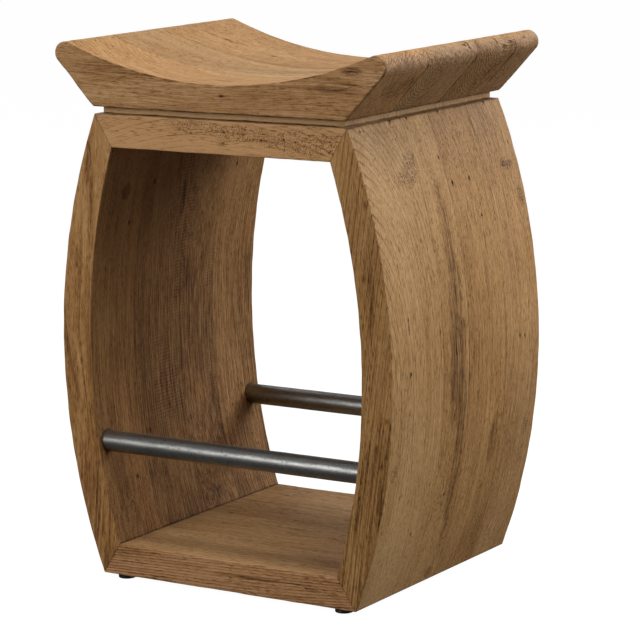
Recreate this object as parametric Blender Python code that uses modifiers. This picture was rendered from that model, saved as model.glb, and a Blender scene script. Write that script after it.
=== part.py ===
"""A saddle-seat counter stool of reclaimed elm, with two round steel footrest rails.

Metres, +Z up. The origin is on the floor under the middle of the stool, +X runs along the seat and -Y is
the front. The carcass is a mitred barrel: two bowed side panels of upright staves, a top board and a
bottom board of planks, each glued edge to edge across the depth. The seat stands on a recessed board.
"""

from math import asin, atan2, cos, hypot, pi, radians, sin, sqrt

import bmesh
import bpy
from mathutils import Matrix

# Whole stool
HEIGHT = 0.6615
CARCASS_DEPTH = 0.360
SEAT_DEPTH = 0.366
JOINT_GAP = 0.0003
ARRIS = 0.0010

# Carcass, seen from the front: half widths at the waist and the radii of the two bows
CARCASS_BOTTOM = 0.0057
CARCASS_TOP = 0.5763
BOTTOM_BOARD_TOP = 0.0454
TOP_BOARD_UNDERSIDE = 0.5360
WAIST_HEIGHT = 0.286
OUTER_WAIST = 0.2350
OUTER_RADIUS = 0.772
INNER_WAIST = 0.1935
INNER_RADIUS = 0.810
BOW_SEGMENTS = 24
MITRE_CLEARANCE = 0.00036
BOARD_FACES = {
    "top": (CARCASS_TOP, TOP_BOARD_UNDERSIDE),
    "bottom": (CARCASS_BOTTOM, BOTTOM_BOARD_TOP),
}

# Glue joints across the depth, from front to back
RIGHT_STAVE_JOINTS = (-0.060, 0.002, 0.095)
LEFT_STAVE_JOINTS = (-0.089, 0.011, 0.085)
TOP_PLANK_JOINTS = (-0.092, -0.004, 0.088)
BOTTOM_PLANK_JOINTS = (-0.080, 0.012, 0.100)
SEAT_PLANK_JOINTS = (-0.085, 0.028, 0.125)

# Seat: a flat underside, undercut ends, rounded horns and a dished top
SEAT_UNDERSIDE = 0.5850
SEAT_UNDERSIDE_HALF = 0.1790
SEAT_MIDDLE_TOP = 0.6185
HORN_RADIUS = 0.0140
HORN_CENTRE = 0.2187
HORN_SEGMENTS = 8
DISH_SEGMENTS = 22
SEAT_ARRIS = 0.0018

# Reveal board, set back under the seat
REVEAL_INSET_X = 0.008
REVEAL_INSET_Y = 0.008

# Loose tenons across the mitres
TENON_THICKNESS = 0.008
TENON_WIDTH = 0.026
TENON_LENGTH = 0.030
TENON_DEPTHS = (-0.130, -0.0433, 0.0433, 0.130)
TENON_ROUNDING = 0.49  # of its thickness, just short of a full round
TENON_EDGE_SEGMENTS = 3

# Footrest rails
RAIL_RADIUS = 0.0130
RAIL_WALL = 0.0015
RAIL_HEIGHT = 0.1690
RAIL_SETBACK = 0.160
SOCKET_DEPTH = 0.014
RAIL_SIDES = 24

# Floor glides, each with one screw
GLIDE_RADIUS = 0.0110
GLIDE_TOP = CARCASS_BOTTOM - JOINT_GAP
GLIDE_EDGE = 0.0012
GLIDE_X = 0.1575
GLIDE_Y = 0.165
GLIDE_HEAD_RADIUS = 0.0035
GLIDE_HEAD_BOTTOM = 0.0016
GLIDE_HEAD_TOP = 0.0040
GLIDE_HEAD_RIM = 0.0006
GLIDE_HEAD_ROUNDING = 0.0009
GLIDE_SHANK_RADIUS = 0.00175
GLIDE_SCREW_TIP = 0.0215
GLIDE_SCREW_POINT = 0.003
PILOT_START = 0.004

# Seat screws, driven up from the underside of the top board
SCREW_LENGTH = 0.070
SCREW_HEAD_RADIUS = 0.0048
SCREW_SHANK_RADIUS = 0.0025
SCREW_CORE_RADIUS = 0.0021
SCREW_SHANK_LENGTH = 0.046
SCREW_POINT = 0.005
SCREW_HEAD_RIM = 0.0004
SCREW_THREAD_RUNOUT = 0.0015
HOLE_OVERSHOOT = 0.001
SCREW_PLACES = [(x, y) for y in (-0.110, 0.110) for x in (-0.105, 0.0, 0.105)]
DRIVE_SIZE = 0.0028
DRIVE_DEPTH = 0.0020
SCREW_SIDES = 12
GLIDE_SIDES = 16

# Mesh work
MERGE_DISTANCE = 1e-6
TURN_MERGE_DISTANCE = 1e-5
FLAT_ANGLE = radians(0.1)
SHARP_ANGLE = radians(40)
ROUND_PROFILE = 0.5


def clear_scene():
    for old in list(bpy.data.objects):
        bpy.data.objects.remove(old)


def new_collection(name):
    collection = bpy.data.collections.new(name)
    bpy.context.scene.collection.children.link(collection)
    return collection


def new_material(name, colour, roughness, metallic=0.0):
    material = bpy.data.materials.new(name)
    material.use_nodes = True
    material.diffuse_color = (*colour, 1)
    shader = material.node_tree.nodes["Principled BSDF"]
    shader.inputs["Base Color"].default_value = (*colour, 1)
    shader.inputs["Roughness"].default_value = roughness
    shader.inputs["Metallic"].default_value = metallic
    return material


def new_object(name, mesh, collection, material=None):
    piece = bpy.data.objects.new(name, mesh)
    collection.objects.link(piece)
    if material:
        mesh.materials.append(material)
    return piece


def hide_as_cutter(cutter):
    cutter.display_type = "WIRE"
    cutter.hide_render = True


def cut(piece, cutter):
    modifier = piece.modifiers.new("Cut " + cutter.name, "BOOLEAN")
    modifier.operation = "DIFFERENCE"
    modifier.solver = "EXACT"
    modifier.object = cutter


# Outlines in the X-Z plane


def bow_half_width(z, waist, radius):
    """Half the width of the bowed carcass at height z, for its outer or its inner surface."""
    return waist - radius + sqrt(radius**2 - (z - WAIST_HEIGHT) ** 2)


def bow_points(waist, radius, z_start, z_end):
    """Points on a bow from one height to another, at equal angles."""
    start = asin((z_start - WAIST_HEIGHT) / radius)
    end = asin((z_end - WAIST_HEIGHT) / radius)
    angles = [start + (end - start) * i / BOW_SEGMENTS for i in range(BOW_SEGMENTS + 1)]
    return [(waist - radius + radius * cos(a), WAIST_HEIGHT + radius * sin(a)) for a in angles]


def side_outline(side):
    """A bowed panel between its two mitres; side is 1 for the right panel and -1 for the left."""
    outer = bow_points(OUTER_WAIST, OUTER_RADIUS, CARCASS_BOTTOM, CARCASS_TOP)
    inner = bow_points(INNER_WAIST, INNER_RADIUS, TOP_BOARD_UNDERSIDE, BOTTOM_BOARD_TOP)
    return [(side * x, z) for x, z in outer + inner]


def board_outline(z_outside, z_inside):
    """The top or the bottom board: wide on its outside face, mitred in to its inside face."""
    wide = bow_half_width(z_outside, OUTER_WAIST, OUTER_RADIUS) - MITRE_CLEARANCE
    narrow = bow_half_width(z_inside, INNER_WAIST, INNER_RADIUS) - MITRE_CLEARANCE
    return [(-wide, z_outside), (wide, z_outside), (narrow, z_inside), (-narrow, z_inside)]


def seat_half_outline():
    """The right half of the seat: its underside corner, round the horn, and along the dish to the middle.

    The horn is an arc that starts tangent to the undercut end, and ends tangent to the arc of the dish.
    """
    horn_z = HEIGHT - HORN_RADIUS
    drop = horn_z - SEAT_MIDDLE_TOP
    dish_radius = (HORN_CENTRE**2 + drop**2 - HORN_RADIUS**2) / (2 * (HORN_RADIUS + drop))
    dish_z = SEAT_MIDDLE_TOP + dish_radius
    across = HORN_CENTRE - SEAT_UNDERSIDE_HALF
    up = horn_z - SEAT_UNDERSIDE
    horn_start = atan2(up, across) - asin(HORN_RADIUS / hypot(across, up)) - pi / 2
    horn_end = atan2(dish_z - horn_z, -HORN_CENTRE)
    points = [(SEAT_UNDERSIDE_HALF, SEAT_UNDERSIDE)]
    horn = [horn_start + (pi / 2 - horn_start) * i / HORN_SEGMENTS for i in range(HORN_SEGMENTS + 1)]
    for angle in (*horn, horn_end):
        points.append((HORN_CENTRE + HORN_RADIUS * cos(angle), horn_z + HORN_RADIUS * sin(angle)))
    half_segments = DISH_SEGMENTS // 2
    for i in range(1, half_segments + 1):
        spread = (horn_end - pi / 2) * (1 - i / half_segments)
        points.append((dish_radius * sin(spread), dish_z - dish_radius * cos(spread)))
    return points


def seat_outline():
    right = seat_half_outline()
    left = [(-x, z) for x, z in reversed(right[:-1])]
    return right + left


# Solids


def extruded(outline, y_front, y_back):
    """The outline as a closed mesh between two depths, and the matrix that places it."""
    curve = bpy.data.curves.new("outline", "CURVE")
    curve.dimensions = "2D"
    curve.fill_mode = "BOTH"
    curve.extrude = (y_back - y_front) / 2
    spline = curve.splines.new("POLY")
    spline.points.add(len(outline) - 1)
    for point, (x, z) in zip(spline.points, outline):
        point.co = (x, z, 0, 1)
    spline.use_cyclic_u = True
    guide = bpy.data.objects.new("outline", curve)
    bpy.context.scene.collection.objects.link(guide)
    graph = bpy.context.evaluated_depsgraph_get()
    mesh = bpy.data.meshes.new_from_object(guide.evaluated_get(graph))
    bpy.data.objects.remove(guide)
    weld(mesh)
    place = Matrix.Translation((0, (y_front + y_back) / 2, 0)) @ Matrix.Rotation(radians(90), 4, "X")
    return mesh, place


def weld(mesh):
    """Joins the loose caps of a converted curve to its sides, and makes each flat cap one face."""
    bm = bmesh.new()
    bm.from_mesh(mesh)
    bmesh.ops.remove_doubles(bm, verts=bm.verts, dist=MERGE_DISTANCE)
    bmesh.ops.dissolve_limit(bm, angle_limit=FLAT_ANGLE, verts=bm.verts, edges=bm.edges)
    bmesh.ops.recalc_face_normals(bm, faces=bm.faces)
    bm.to_mesh(mesh)
    bm.free()


def ease_face(piece, towards, width):
    """Eases the arrises round the face of an extruded piece that looks to local +Z or -Z."""
    mesh = piece.data
    weights = mesh.attributes.new("bevel_weight_edge", "FLOAT", "EDGE")
    reach = max(vertex.co.z for vertex in mesh.vertices)
    for edge in mesh.edges:
        ends = [mesh.vertices[i].co.z * towards for i in edge.vertices]
        if min(ends) > reach - MERGE_DISTANCE:
            weights.data[edge.index].value = 1
    modifier = piece.modifiers.new("Eased arris", "BEVEL")
    modifier.limit_method = "WEIGHT"
    modifier.width = width
    modifier.segments = 1


def glued_boards(name, outline, depth, joints, arris, collection, material):
    """Boards glued edge to edge across the depth. Returns each with its front and back faces."""
    outer_face = (depth + JOINT_GAP) / 2
    faces = [-outer_face, *joints, outer_face]
    boards = []
    for i, (start, end) in enumerate(zip(faces, faces[1:])):
        y_front = start + JOINT_GAP / 2
        y_back = end - JOINT_GAP / 2
        mesh, place = extruded(outline, y_front, y_back)
        board = new_object(f"{name}_{i + 1}", mesh, collection, material)
        board.matrix_world = place
        if i == 0:
            ease_face(board, 1, arris)
        if i == len(joints):
            ease_face(board, -1, arris)
        boards.append((board, y_front, y_back))
    return boards


def board_at(boards, y):
    """The board that holds depth y."""
    return next(board for board, y_front, y_back in boards if y_front <= y <= y_back)


def box_mesh(name, size):
    mesh = bpy.data.meshes.new(name)
    bm = bmesh.new()
    bmesh.ops.create_cube(bm, size=1, matrix=Matrix.Diagonal((*size, 1)))
    bm.to_mesh(mesh)
    bm.free()
    return mesh


def tenon_mesh(name, clearance):
    """A loose tenon along local X with round edges, or its mortise when clearance is above 0."""
    thickness = TENON_THICKNESS + 2 * clearance
    mesh = box_mesh(name, (TENON_LENGTH + 2 * clearance, TENON_WIDTH + 2 * clearance, thickness))
    bm = bmesh.new()
    bm.from_mesh(mesh)
    long_edges = [e for e in bm.edges if abs(e.verts[0].co.x - e.verts[1].co.x) > TENON_LENGTH / 2]
    bmesh.ops.bevel(
        bm,
        geom=long_edges,
        offset=thickness * TENON_ROUNDING,
        segments=TENON_EDGE_SEGMENTS,
        profile=ROUND_PROFILE,
        affect="EDGES",
    )
    bm.to_mesh(mesh)
    bm.free()
    return mesh


def turned(name, profile, closed, sides, collection, material):
    """A round piece turned about Z from (radius, height) points that run down its outer side."""
    mesh = bpy.data.meshes.new(name)
    links = [(i, i + 1) for i in range(len(profile) - 1)]
    if closed:
        links.append((len(profile) - 1, 0))
    mesh.from_pydata([(r, 0, z) for r, z in profile], links, [])
    piece = new_object(name, mesh, collection, material)
    modifier = piece.modifiers.new("Turn", "SCREW")
    modifier.steps = sides
    modifier.render_steps = sides
    modifier.use_merge_vertices = True
    modifier.merge_threshold = TURN_MERGE_DISTANCE
    modifier.use_smooth_shade = True
    return piece


def cylinder_mesh(name, radius, length, sides, capped):
    """A cylinder along X through the origin."""
    mesh = bpy.data.meshes.new(name)
    bm = bmesh.new()
    bmesh.ops.create_cone(
        bm,
        cap_ends=capped,
        segments=sides,
        radius1=radius,
        radius2=radius,
        depth=length,
        matrix=Matrix.Rotation(radians(90), 4, "Y"),
    )
    bm.to_mesh(mesh)
    bm.free()
    mesh.shade_smooth()
    mesh.set_sharp_from_angle(angle=SHARP_ANGLE)
    return mesh


# Sub-assemblies


def add_tenons(panels, boards, collection, cutters, material):
    """Loose tenons square to each mitre, with mortises in the stave and the plank that they join."""
    for level, (z_out, z_in) in BOARD_FACES.items():
        x_out = bow_half_width(z_out, OUTER_WAIST, OUTER_RADIUS)
        x_in = bow_half_width(z_in, INNER_WAIST, INNER_RADIUS)
        tilt = atan2(x_out - x_in, z_out - z_in)
        for side_name, side in (("left", -1), ("right", 1)):
            for i, y in enumerate(TENON_DEPTHS):
                name = f"tenon_{level}_{side_name}_{i + 1}"
                place = Matrix.Translation((side * (x_out + x_in) / 2, y, (z_out + z_in) / 2))
                place = place @ Matrix.Rotation(side * tilt, 4, "Y")
                tenon = new_object(name, tenon_mesh(name, 0), collection, material)
                tenon.matrix_world = place
                mortise_name = name.replace("tenon", "mortise")
                mortise = new_object(mortise_name, tenon_mesh(mortise_name, JOINT_GAP), cutters)
                mortise.matrix_world = place
                hide_as_cutter(mortise)
                cut(board_at(panels[side_name], y), mortise)
                cut(board_at(boards[level], y), mortise)


def add_rails(panels, collection, cutters, material):
    """Two steel tubes, each end in a blind socket in the inner face of a side panel."""
    reach = bow_half_width(RAIL_HEIGHT, INNER_WAIST, INNER_RADIUS) + SOCKET_DEPTH
    for name, y in (("front_rail", -RAIL_SETBACK), ("rear_rail", RAIL_SETBACK)):
        tube = cylinder_mesh(name, RAIL_RADIUS, 2 * reach, RAIL_SIDES, False)
        rail = new_object(name, tube, collection, material)
        rail.location = (0, y, RAIL_HEIGHT)
        wall = rail.modifiers.new("Wall", "SOLIDIFY")
        wall.thickness = RAIL_WALL
        wall.offset = -1
        bore = cylinder_mesh(
            name + "_sockets", RAIL_RADIUS + JOINT_GAP, 2 * (reach + JOINT_GAP), RAIL_SIDES, True
        )
        socket = new_object(name + "_sockets", bore, cutters)
        socket.location = rail.location
        hide_as_cutter(socket)
        for boards in panels.values():
            cut(board_at(boards, y), socket)


def seat_screw_profile(clearance):
    """A countersunk screw with its head down, its tip up, and its recessed head's face at height 0."""
    tip = SCREW_LENGTH + clearance
    head = SCREW_HEAD_RADIUS + clearance
    shank = SCREW_SHANK_RADIUS + clearance
    core = SCREW_CORE_RADIUS + clearance
    base = -HOLE_OVERSHOOT if clearance else 0.0
    return [
        (0.0, tip),
        (core, tip - SCREW_POINT),
        (core, SCREW_SHANK_LENGTH + SCREW_THREAD_RUNOUT),
        (shank, SCREW_SHANK_LENGTH),
        (shank, head - shank + SCREW_HEAD_RIM),
        (head, SCREW_HEAD_RIM),
        (head, base),
        (0.0, base),
    ]


def add_seat_screws(layers, collection, cutters, material):
    """Screws that hold the seat down, each with a hole through or into every layer it passes."""
    recess_size = (DRIVE_SIZE, DRIVE_SIZE, 2 * DRIVE_DEPTH)
    for i, (x, y) in enumerate(SCREW_PLACES):
        place = (x, y, TOP_BOARD_UNDERSIDE + JOINT_GAP)
        name = f"seat_screw_{i + 1}"
        screw = turned(name, seat_screw_profile(0), False, SCREW_SIDES, collection, material)
        screw.location = place
        hole = turned(name + "_hole", seat_screw_profile(JOINT_GAP), False, SCREW_SIDES, cutters, None)
        hole.location = place
        hide_as_cutter(hole)
        recess_name = name + "_recess"
        recess = new_object(recess_name, box_mesh(recess_name, recess_size), cutters)
        recess.location = place
        hide_as_cutter(recess)
        cut(screw, recess)
        for layer in layers:
            cut(board_at(layer, y), hole)


def glide_pad_profile():
    """A disc with an eased lower edge, a hole for the screw and a counterbore for its head."""
    hole = GLIDE_SHANK_RADIUS + JOINT_GAP
    counterbore = GLIDE_HEAD_RADIUS + JOINT_GAP
    ceiling = GLIDE_HEAD_TOP + JOINT_GAP
    eased = [
        (GLIDE_RADIUS - GLIDE_EDGE * (1 - cos(a)), GLIDE_EDGE * (1 - sin(a)))
        for a in (0, pi / 4, pi / 2)
    ]
    inside = [(counterbore, 0), (counterbore, ceiling), (hole, ceiling)]
    return [(hole, GLIDE_TOP), (GLIDE_RADIUS, GLIDE_TOP), *eased, *inside]


def glide_screw_profile():
    return [
        (0.0, GLIDE_SCREW_TIP),
        (GLIDE_SHANK_RADIUS, GLIDE_SCREW_TIP - GLIDE_SCREW_POINT),
        (GLIDE_SHANK_RADIUS, GLIDE_HEAD_TOP),
        (GLIDE_HEAD_RADIUS, GLIDE_HEAD_TOP),
        (GLIDE_HEAD_RADIUS, GLIDE_HEAD_BOTTOM + GLIDE_HEAD_RIM),
        (GLIDE_HEAD_RADIUS - GLIDE_HEAD_ROUNDING, GLIDE_HEAD_BOTTOM),
        (0.0, GLIDE_HEAD_BOTTOM),
    ]


def add_glides(bottom_boards, collection, cutters, pad_material, screw_material):
    """A round pad under each corner, held by one screw up into the bottom board."""
    pilot_top = GLIDE_SCREW_TIP + JOINT_GAP
    pilot_radius = GLIDE_SHANK_RADIUS + JOINT_GAP
    pilot_profile = [
        (0.0, pilot_top),
        (pilot_radius, pilot_top),
        (pilot_radius, PILOT_START),
        (0.0, PILOT_START),
    ]
    for side_name, x in (("left", -GLIDE_X), ("right", GLIDE_X)):
        for end_name, y in (("front", -GLIDE_Y), ("rear", GLIDE_Y)):
            corner = f"{end_name}_{side_name}"
            pad_name = f"glide_pad_{corner}"
            pad = turned(pad_name, glide_pad_profile(), True, GLIDE_SIDES, collection, pad_material)
            screw_name = f"glide_screw_{corner}"
            screw = turned(
                screw_name, glide_screw_profile(), False, SCREW_SIDES, collection, screw_material
            )
            pilot = turned(f"glide_pilot_{corner}", pilot_profile, False, SCREW_SIDES, cutters, None)
            hide_as_cutter(pilot)
            for piece in (pad, screw, pilot):
                piece.location = (x, y, 0)
            cut(board_at(bottom_boards, y), pilot)


def add_reveal_board(collection, material):
    bottom = CARCASS_TOP + JOINT_GAP
    top = SEAT_UNDERSIDE - JOINT_GAP
    width = 2 * (bow_half_width(CARCASS_TOP, OUTER_WAIST, OUTER_RADIUS) - REVEAL_INSET_X)
    depth = CARCASS_DEPTH - 2 * REVEAL_INSET_Y
    mesh = box_mesh("reveal_board", (width, depth, top - bottom))
    board = new_object("reveal_board", mesh, collection, material)
    board.location.z = (top + bottom) / 2
    return [(board, -depth / 2, depth / 2)]


def main():
    clear_scene()
    stool = new_collection("Bar stool with footrest")
    cutters = new_collection("Cutters")
    seat_elm = new_material("Seat elm", (0.38, 0.22, 0.10), 0.60)
    side_elm = new_material("Side panel elm", (0.30, 0.17, 0.075), 0.62)
    board_elm = new_material("Board elm", (0.32, 0.18, 0.08), 0.62)
    beech = new_material("Tenon beech", (0.55, 0.38, 0.22), 0.70)
    steel = new_material("Rail steel", (0.10, 0.10, 0.095), 0.38, 0.9)
    zinc = new_material("Screw steel", (0.55, 0.54, 0.50), 0.35, 1.0)
    nylon = new_material("Glide nylon", (0.012, 0.012, 0.012), 0.50)
    panels = {}
    for name, side, joints in (("left", -1, LEFT_STAVE_JOINTS), ("right", 1, RIGHT_STAVE_JOINTS)):
        panels[name] = glued_boards(
            f"{name}_stave", side_outline(side), CARCASS_DEPTH, joints, ARRIS, stool, side_elm
        )
    boards = {}
    for name, joints in (("top", TOP_PLANK_JOINTS), ("bottom", BOTTOM_PLANK_JOINTS)):
        outline = board_outline(*BOARD_FACES[name])
        boards[name] = glued_boards(
            f"{name}_plank", outline, CARCASS_DEPTH, joints, ARRIS, stool, board_elm
        )
    seat = glued_boards(
        "seat_plank", seat_outline(), SEAT_DEPTH, SEAT_PLANK_JOINTS, SEAT_ARRIS, stool, seat_elm
    )
    reveal = add_reveal_board(stool, board_elm)
    add_tenons(panels, boards, stool, cutters, beech)
    add_rails(panels, stool, cutters, steel)
    add_seat_screws((boards["top"], reveal, seat), stool, cutters, zinc)
    add_glides(boards["bottom"], stool, cutters, nylon, zinc)


main()
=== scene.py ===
from math import atan2, cos, pi, radians, sin

import bmesh
import bpy
import numpy as np
from mathutils import Matrix, Vector


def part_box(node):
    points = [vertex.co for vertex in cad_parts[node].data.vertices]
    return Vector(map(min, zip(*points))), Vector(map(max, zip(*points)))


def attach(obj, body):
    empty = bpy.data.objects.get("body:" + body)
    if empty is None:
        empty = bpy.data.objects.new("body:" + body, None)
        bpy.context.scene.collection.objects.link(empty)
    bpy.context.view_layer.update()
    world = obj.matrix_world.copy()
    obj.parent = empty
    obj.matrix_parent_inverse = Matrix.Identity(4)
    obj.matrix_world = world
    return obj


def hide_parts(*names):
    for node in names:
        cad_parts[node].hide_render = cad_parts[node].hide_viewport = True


# Looks of the saddle-seat counter stool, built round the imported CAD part: boards of reclaimed elm
# with brushed grain, eased arrises, nail holes and splits, two blackened steel rails, screws and glides.
# Metres, +Z up, -Y the front, +X the right.

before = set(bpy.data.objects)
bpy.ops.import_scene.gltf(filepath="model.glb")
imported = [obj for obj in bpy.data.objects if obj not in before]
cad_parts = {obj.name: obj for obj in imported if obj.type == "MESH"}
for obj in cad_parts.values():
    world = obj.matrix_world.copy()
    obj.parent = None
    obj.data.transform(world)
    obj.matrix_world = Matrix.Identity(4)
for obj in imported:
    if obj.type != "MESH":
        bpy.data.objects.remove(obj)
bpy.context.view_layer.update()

X, Y, Z = 0, 1, 2
AXIS = {"X": X, "Z": Z}


def span(node, axis):
    low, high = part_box(node)
    return low[axis], high[axis]


# Carcass: heights and widths come from the CAD boxes, the two bows from their radii
CARCASS_BOTTOM, BOTTOM_BOARD_TOP = span("bottom_plank_1", Z)
TOP_BOARD_UNDERSIDE, CARCASS_TOP = span("top_plank_1", Z)
SEAT_UNDERSIDE, SEAT_TOP = span("seat_plank_1", Z)
CARCASS_FRONT, CARCASS_REAR = span("right_stave_1", Y)[0], span("right_stave_4", Y)[1]
SEAT_FRONT, SEAT_REAR = span("seat_plank_1", Y)[0], span("seat_plank_4", Y)[1]
OUTER_WAIST = span("right_stave_1", X)[1]
INNER_WAIST = 0.1935
WAIST_HEIGHT = 0.286
OUTER_RADIUS = 0.772
INNER_RADIUS = 0.810

# Seat section
UNDERSIDE_HALF = 0.1790
MIDDLE_TOP = 0.6185
HORN_RADIUS = 0.0140
HORN_CENTRE = 0.2187

# Mesh rows, in metres
STEP_ACROSS = 0.0016
STEP_ALONG = 0.0060
EASED_ROWS = (0.0, 0.0004, 0.0010, 0.0017, 0.0026, 0.0036)
TIP_ROWS = (0.0, 0.0004, 0.0010, 0.0020, 0.0032, 0.0045, 0.0060, 0.0078, 0.0098)
JOINT_SLACK = 0.00002

# Surface relief, in metres
BRUSHED = 0.00016
PLANED = 0.00022
ARRIS_WEAR = 0.35
LUMPS = 0.0009


# ---- Smooth random fields and growth rings ----


class Swell:
    """A smooth random field of about unit size: sine waves near the given wavelengths along X, Y and Z."""

    def __init__(self, seed, wavelengths, count=10):
        rng = np.random.default_rng(seed)
        heading = rng.normal(size=(count, 3))
        heading /= np.linalg.norm(heading, axis=1)[:, None]
        self.waves = heading * rng.uniform(0.6, 1.9, (count, 1)) * 2 * pi / np.array(wavelengths)
        self.phases = rng.uniform(0, 2 * pi, count)
        self.size = (2 / count) ** 0.5

    def __call__(self, points):
        return np.sin(points @ self.waves.T + self.phases).sum(axis=1) * self.size


def stretched(across, along, axis):
    """Wavelengths along X, Y and Z for a field that is drawn out along the grain."""
    lengths = [across] * 3
    lengths[AXIS[axis]] = along
    return lengths


class Wood:
    """One board's growth rings: where its pith line runs, how far apart the rings are, and its knots."""

    def __init__(self, seed, axis, pith, tilt, spacing, knots=(), wander=0.6, arch=(0.0, 0.0)):
        self.axis = axis
        self.cross = (X, Y) if axis == "Z" else (Z, Y)
        self.pith = pith
        self.tilt = tilt
        self.spacing = spacing
        self.knots = knots
        self.bend = [Swell(seed + k, stretched(0.30, 0.42, axis)) for k in (1, 2)]
        self.wave = Swell(seed + 3, stretched(0.040, 0.30, axis))
        self.ripple = Swell(seed + 4, stretched(0.014, 0.11, axis))
        self.wander = wander
        self.arch, self.arch_middle = arch

    def rings(self, points):
        along = points[:, AXIS[self.axis]] - (WAIST_HEIGHT if self.axis == "Z" else 0)
        offsets = []
        for k, axis in enumerate(self.cross):
            middle = self.pith[k] + self.tilt[k] * along + 0.004 * self.wander * self.bend[k](points)
            if k == 0:
                middle += self.arch * (along - self.arch_middle) ** 2
            offsets.append(points[:, axis] - middle)
        distance = np.hypot(*offsets)
        distance += self.wander * (0.0010 * self.wave(points) + 0.00022 * self.ripple(points))
        for place, reach, push in self.knots:
            away = (points - np.array(place)) / reach
            away[:, AXIS[self.axis]] *= 0.55
            distance += push * np.exp(-((away**2).sum(axis=1)))
        return distance / self.spacing


# ---- Outlines in the X-Z plane ----


def bow(z, waist, radius):
    """Half the width of the bowed carcass at height z."""
    return waist - radius + np.sqrt(radius**2 - (z - WAIST_HEIGHT) ** 2)


def outer_bow(z):
    return bow(z, OUTER_WAIST, OUTER_RADIUS)


def inner_bow(z):
    return bow(z, INNER_WAIST, INNER_RADIUS)


class Edge:
    """One side of an outline: a line through points, read by its share of the length."""

    def __init__(self, points):
        self.points = np.array(points, float)
        steps = np.linalg.norm(np.diff(self.points, axis=0), axis=1)
        self.shares = np.concatenate([[0], np.cumsum(steps)]) / steps.sum()
        self.length = steps.sum()

    def at(self, share):
        return np.stack([np.interp(share, self.shares, self.points[:, k]) for k in (0, 1)], axis=-1)

    def normal(self, share, outward):
        """Unit normals on the side of the outward vectors."""
        step = 0.004
        run = self.at(np.minimum(share + step, 1)) - self.at(np.maximum(share - step, 0))
        normal = np.stack([run[:, 1], -run[:, 0]], axis=-1)
        normal /= np.linalg.norm(normal, axis=1)[:, None]
        return normal * np.sign((normal * outward).sum(axis=1))[:, None]


def mirrored(points):
    return [(-x, z) for x, z in points]


class Outline:
    """Four edges round a board's section: under and over run along the grain, start and end across it."""

    def __init__(self, under, over, start, end, round_ends=0.0):
        self.round_ends = round_ends
        self.under = Edge(under)
        self.over = Edge(over)
        self.start = Edge(start)
        self.end = Edge(end)

    def at(self, u, v):
        """Points of a sheet stretched between the four edges."""
        under, over = self.under.at(u), self.over.at(u)
        start, end = self.start.at(v), self.end.at(v)
        u, v = u[:, None], v[:, None]
        corners = (
            (1 - u) * (1 - v) * self.under.at(0.0)
            + u * (1 - v) * self.under.at(1.0)
            + (1 - u) * v * self.over.at(0.0)
            + u * v * self.over.at(1.0)
        )
        return (1 - v) * under + v * over + (1 - u) * start + u * end - corners


def stave_outline(side):
    inner_z = np.linspace(BOTTOM_BOARD_TOP, TOP_BOARD_UNDERSIDE, 200)
    outer_z = np.linspace(CARCASS_BOTTOM, CARCASS_TOP, 200)
    inner = np.stack([side * inner_bow(inner_z), inner_z], axis=1)
    outer = np.stack([side * outer_bow(outer_z), outer_z], axis=1)
    return Outline(inner, outer, [inner[0], outer[0]], [inner[-1], outer[-1]])


def plank_outline(z_inside, z_outside):
    narrow = inner_bow(z_inside) - 2 * JOINT_SLACK
    wide = outer_bow(z_outside) - 2 * JOINT_SLACK
    inside = [(-narrow, z_inside), (narrow, z_inside)]
    outside = [(-wide, z_outside), (wide, z_outside)]
    return Outline(inside, outside, [inside[0], outside[0]], [inside[1], outside[1]])


def seat_curve():
    """The dish's centre height and radius, and the horn's first and last angles."""
    horn_z = SEAT_TOP - HORN_RADIUS
    drop = horn_z - MIDDLE_TOP
    dish_radius = (HORN_CENTRE**2 + drop**2 - HORN_RADIUS**2) / (2 * (HORN_RADIUS + drop))
    dish_z = MIDDLE_TOP + dish_radius
    across, up = HORN_CENTRE - UNDERSIDE_HALF, horn_z - SEAT_UNDERSIDE
    first = atan2(up, across) - np.arcsin(HORN_RADIUS / np.hypot(across, up)) - pi / 2
    last = atan2(dish_z - horn_z, -HORN_CENTRE)
    return dish_z, dish_radius, horn_z, first, last


DISH_Z, DISH_RADIUS, HORN_Z, HORN_FIRST, HORN_LAST = seat_curve()


def seat_outline():
    turns = np.linspace(HORN_FIRST, HORN_LAST, 60)
    horn = [(HORN_CENTRE + HORN_RADIUS * cos(t), HORN_Z + HORN_RADIUS * sin(t)) for t in turns]
    spread = np.linspace(pi / 2 - HORN_LAST, HORN_LAST - pi / 2, 300)[1:-1]
    dish = [(DISH_RADIUS * sin(a), DISH_Z - DISH_RADIUS * cos(a)) for a in spread]
    over = [*mirrored(horn), *dish, *reversed(horn)]
    under = [(-UNDERSIDE_HALF, SEAT_UNDERSIDE), (UNDERSIDE_HALF, SEAT_UNDERSIDE)]
    return Outline(under, over, [under[0], over[0]], [under[1], over[-1]], round_ends=0.045)


def reveal_outline():
    (x_low, x_high), (z_low, z_high) = span("reveal_board", X), span("reveal_board", Z)
    under = [(x_low, z_low), (x_high, z_low)]
    over = [(x_low, z_high), (x_high, z_high)]
    return Outline(under, over, [under[0], over[0]], [under[1], over[1]])


# ---- Board meshes ----


def rows(length, step, eased_start, eased_end, round_ends=0.0):
    """Shares from 0 to 1 of a length, a step apart, with closer rows at an eased end and on round ends."""
    curved = np.arange(EASED_ROWS[-1], round_ends, STEP_ACROSS)
    near = np.concatenate([EASED_ROWS if eased_start else TIP_ROWS, curved[1:]])
    far = length - np.concatenate([EASED_ROWS if eased_end else TIP_ROWS, curved[1:]])
    count = max(2, round((far.min() - near.max()) / step))
    middle = np.linspace(near.max(), far.min(), count + 1)
    places = np.sort(np.concatenate([near, middle[1:-1], far]))
    return places / length


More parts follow.
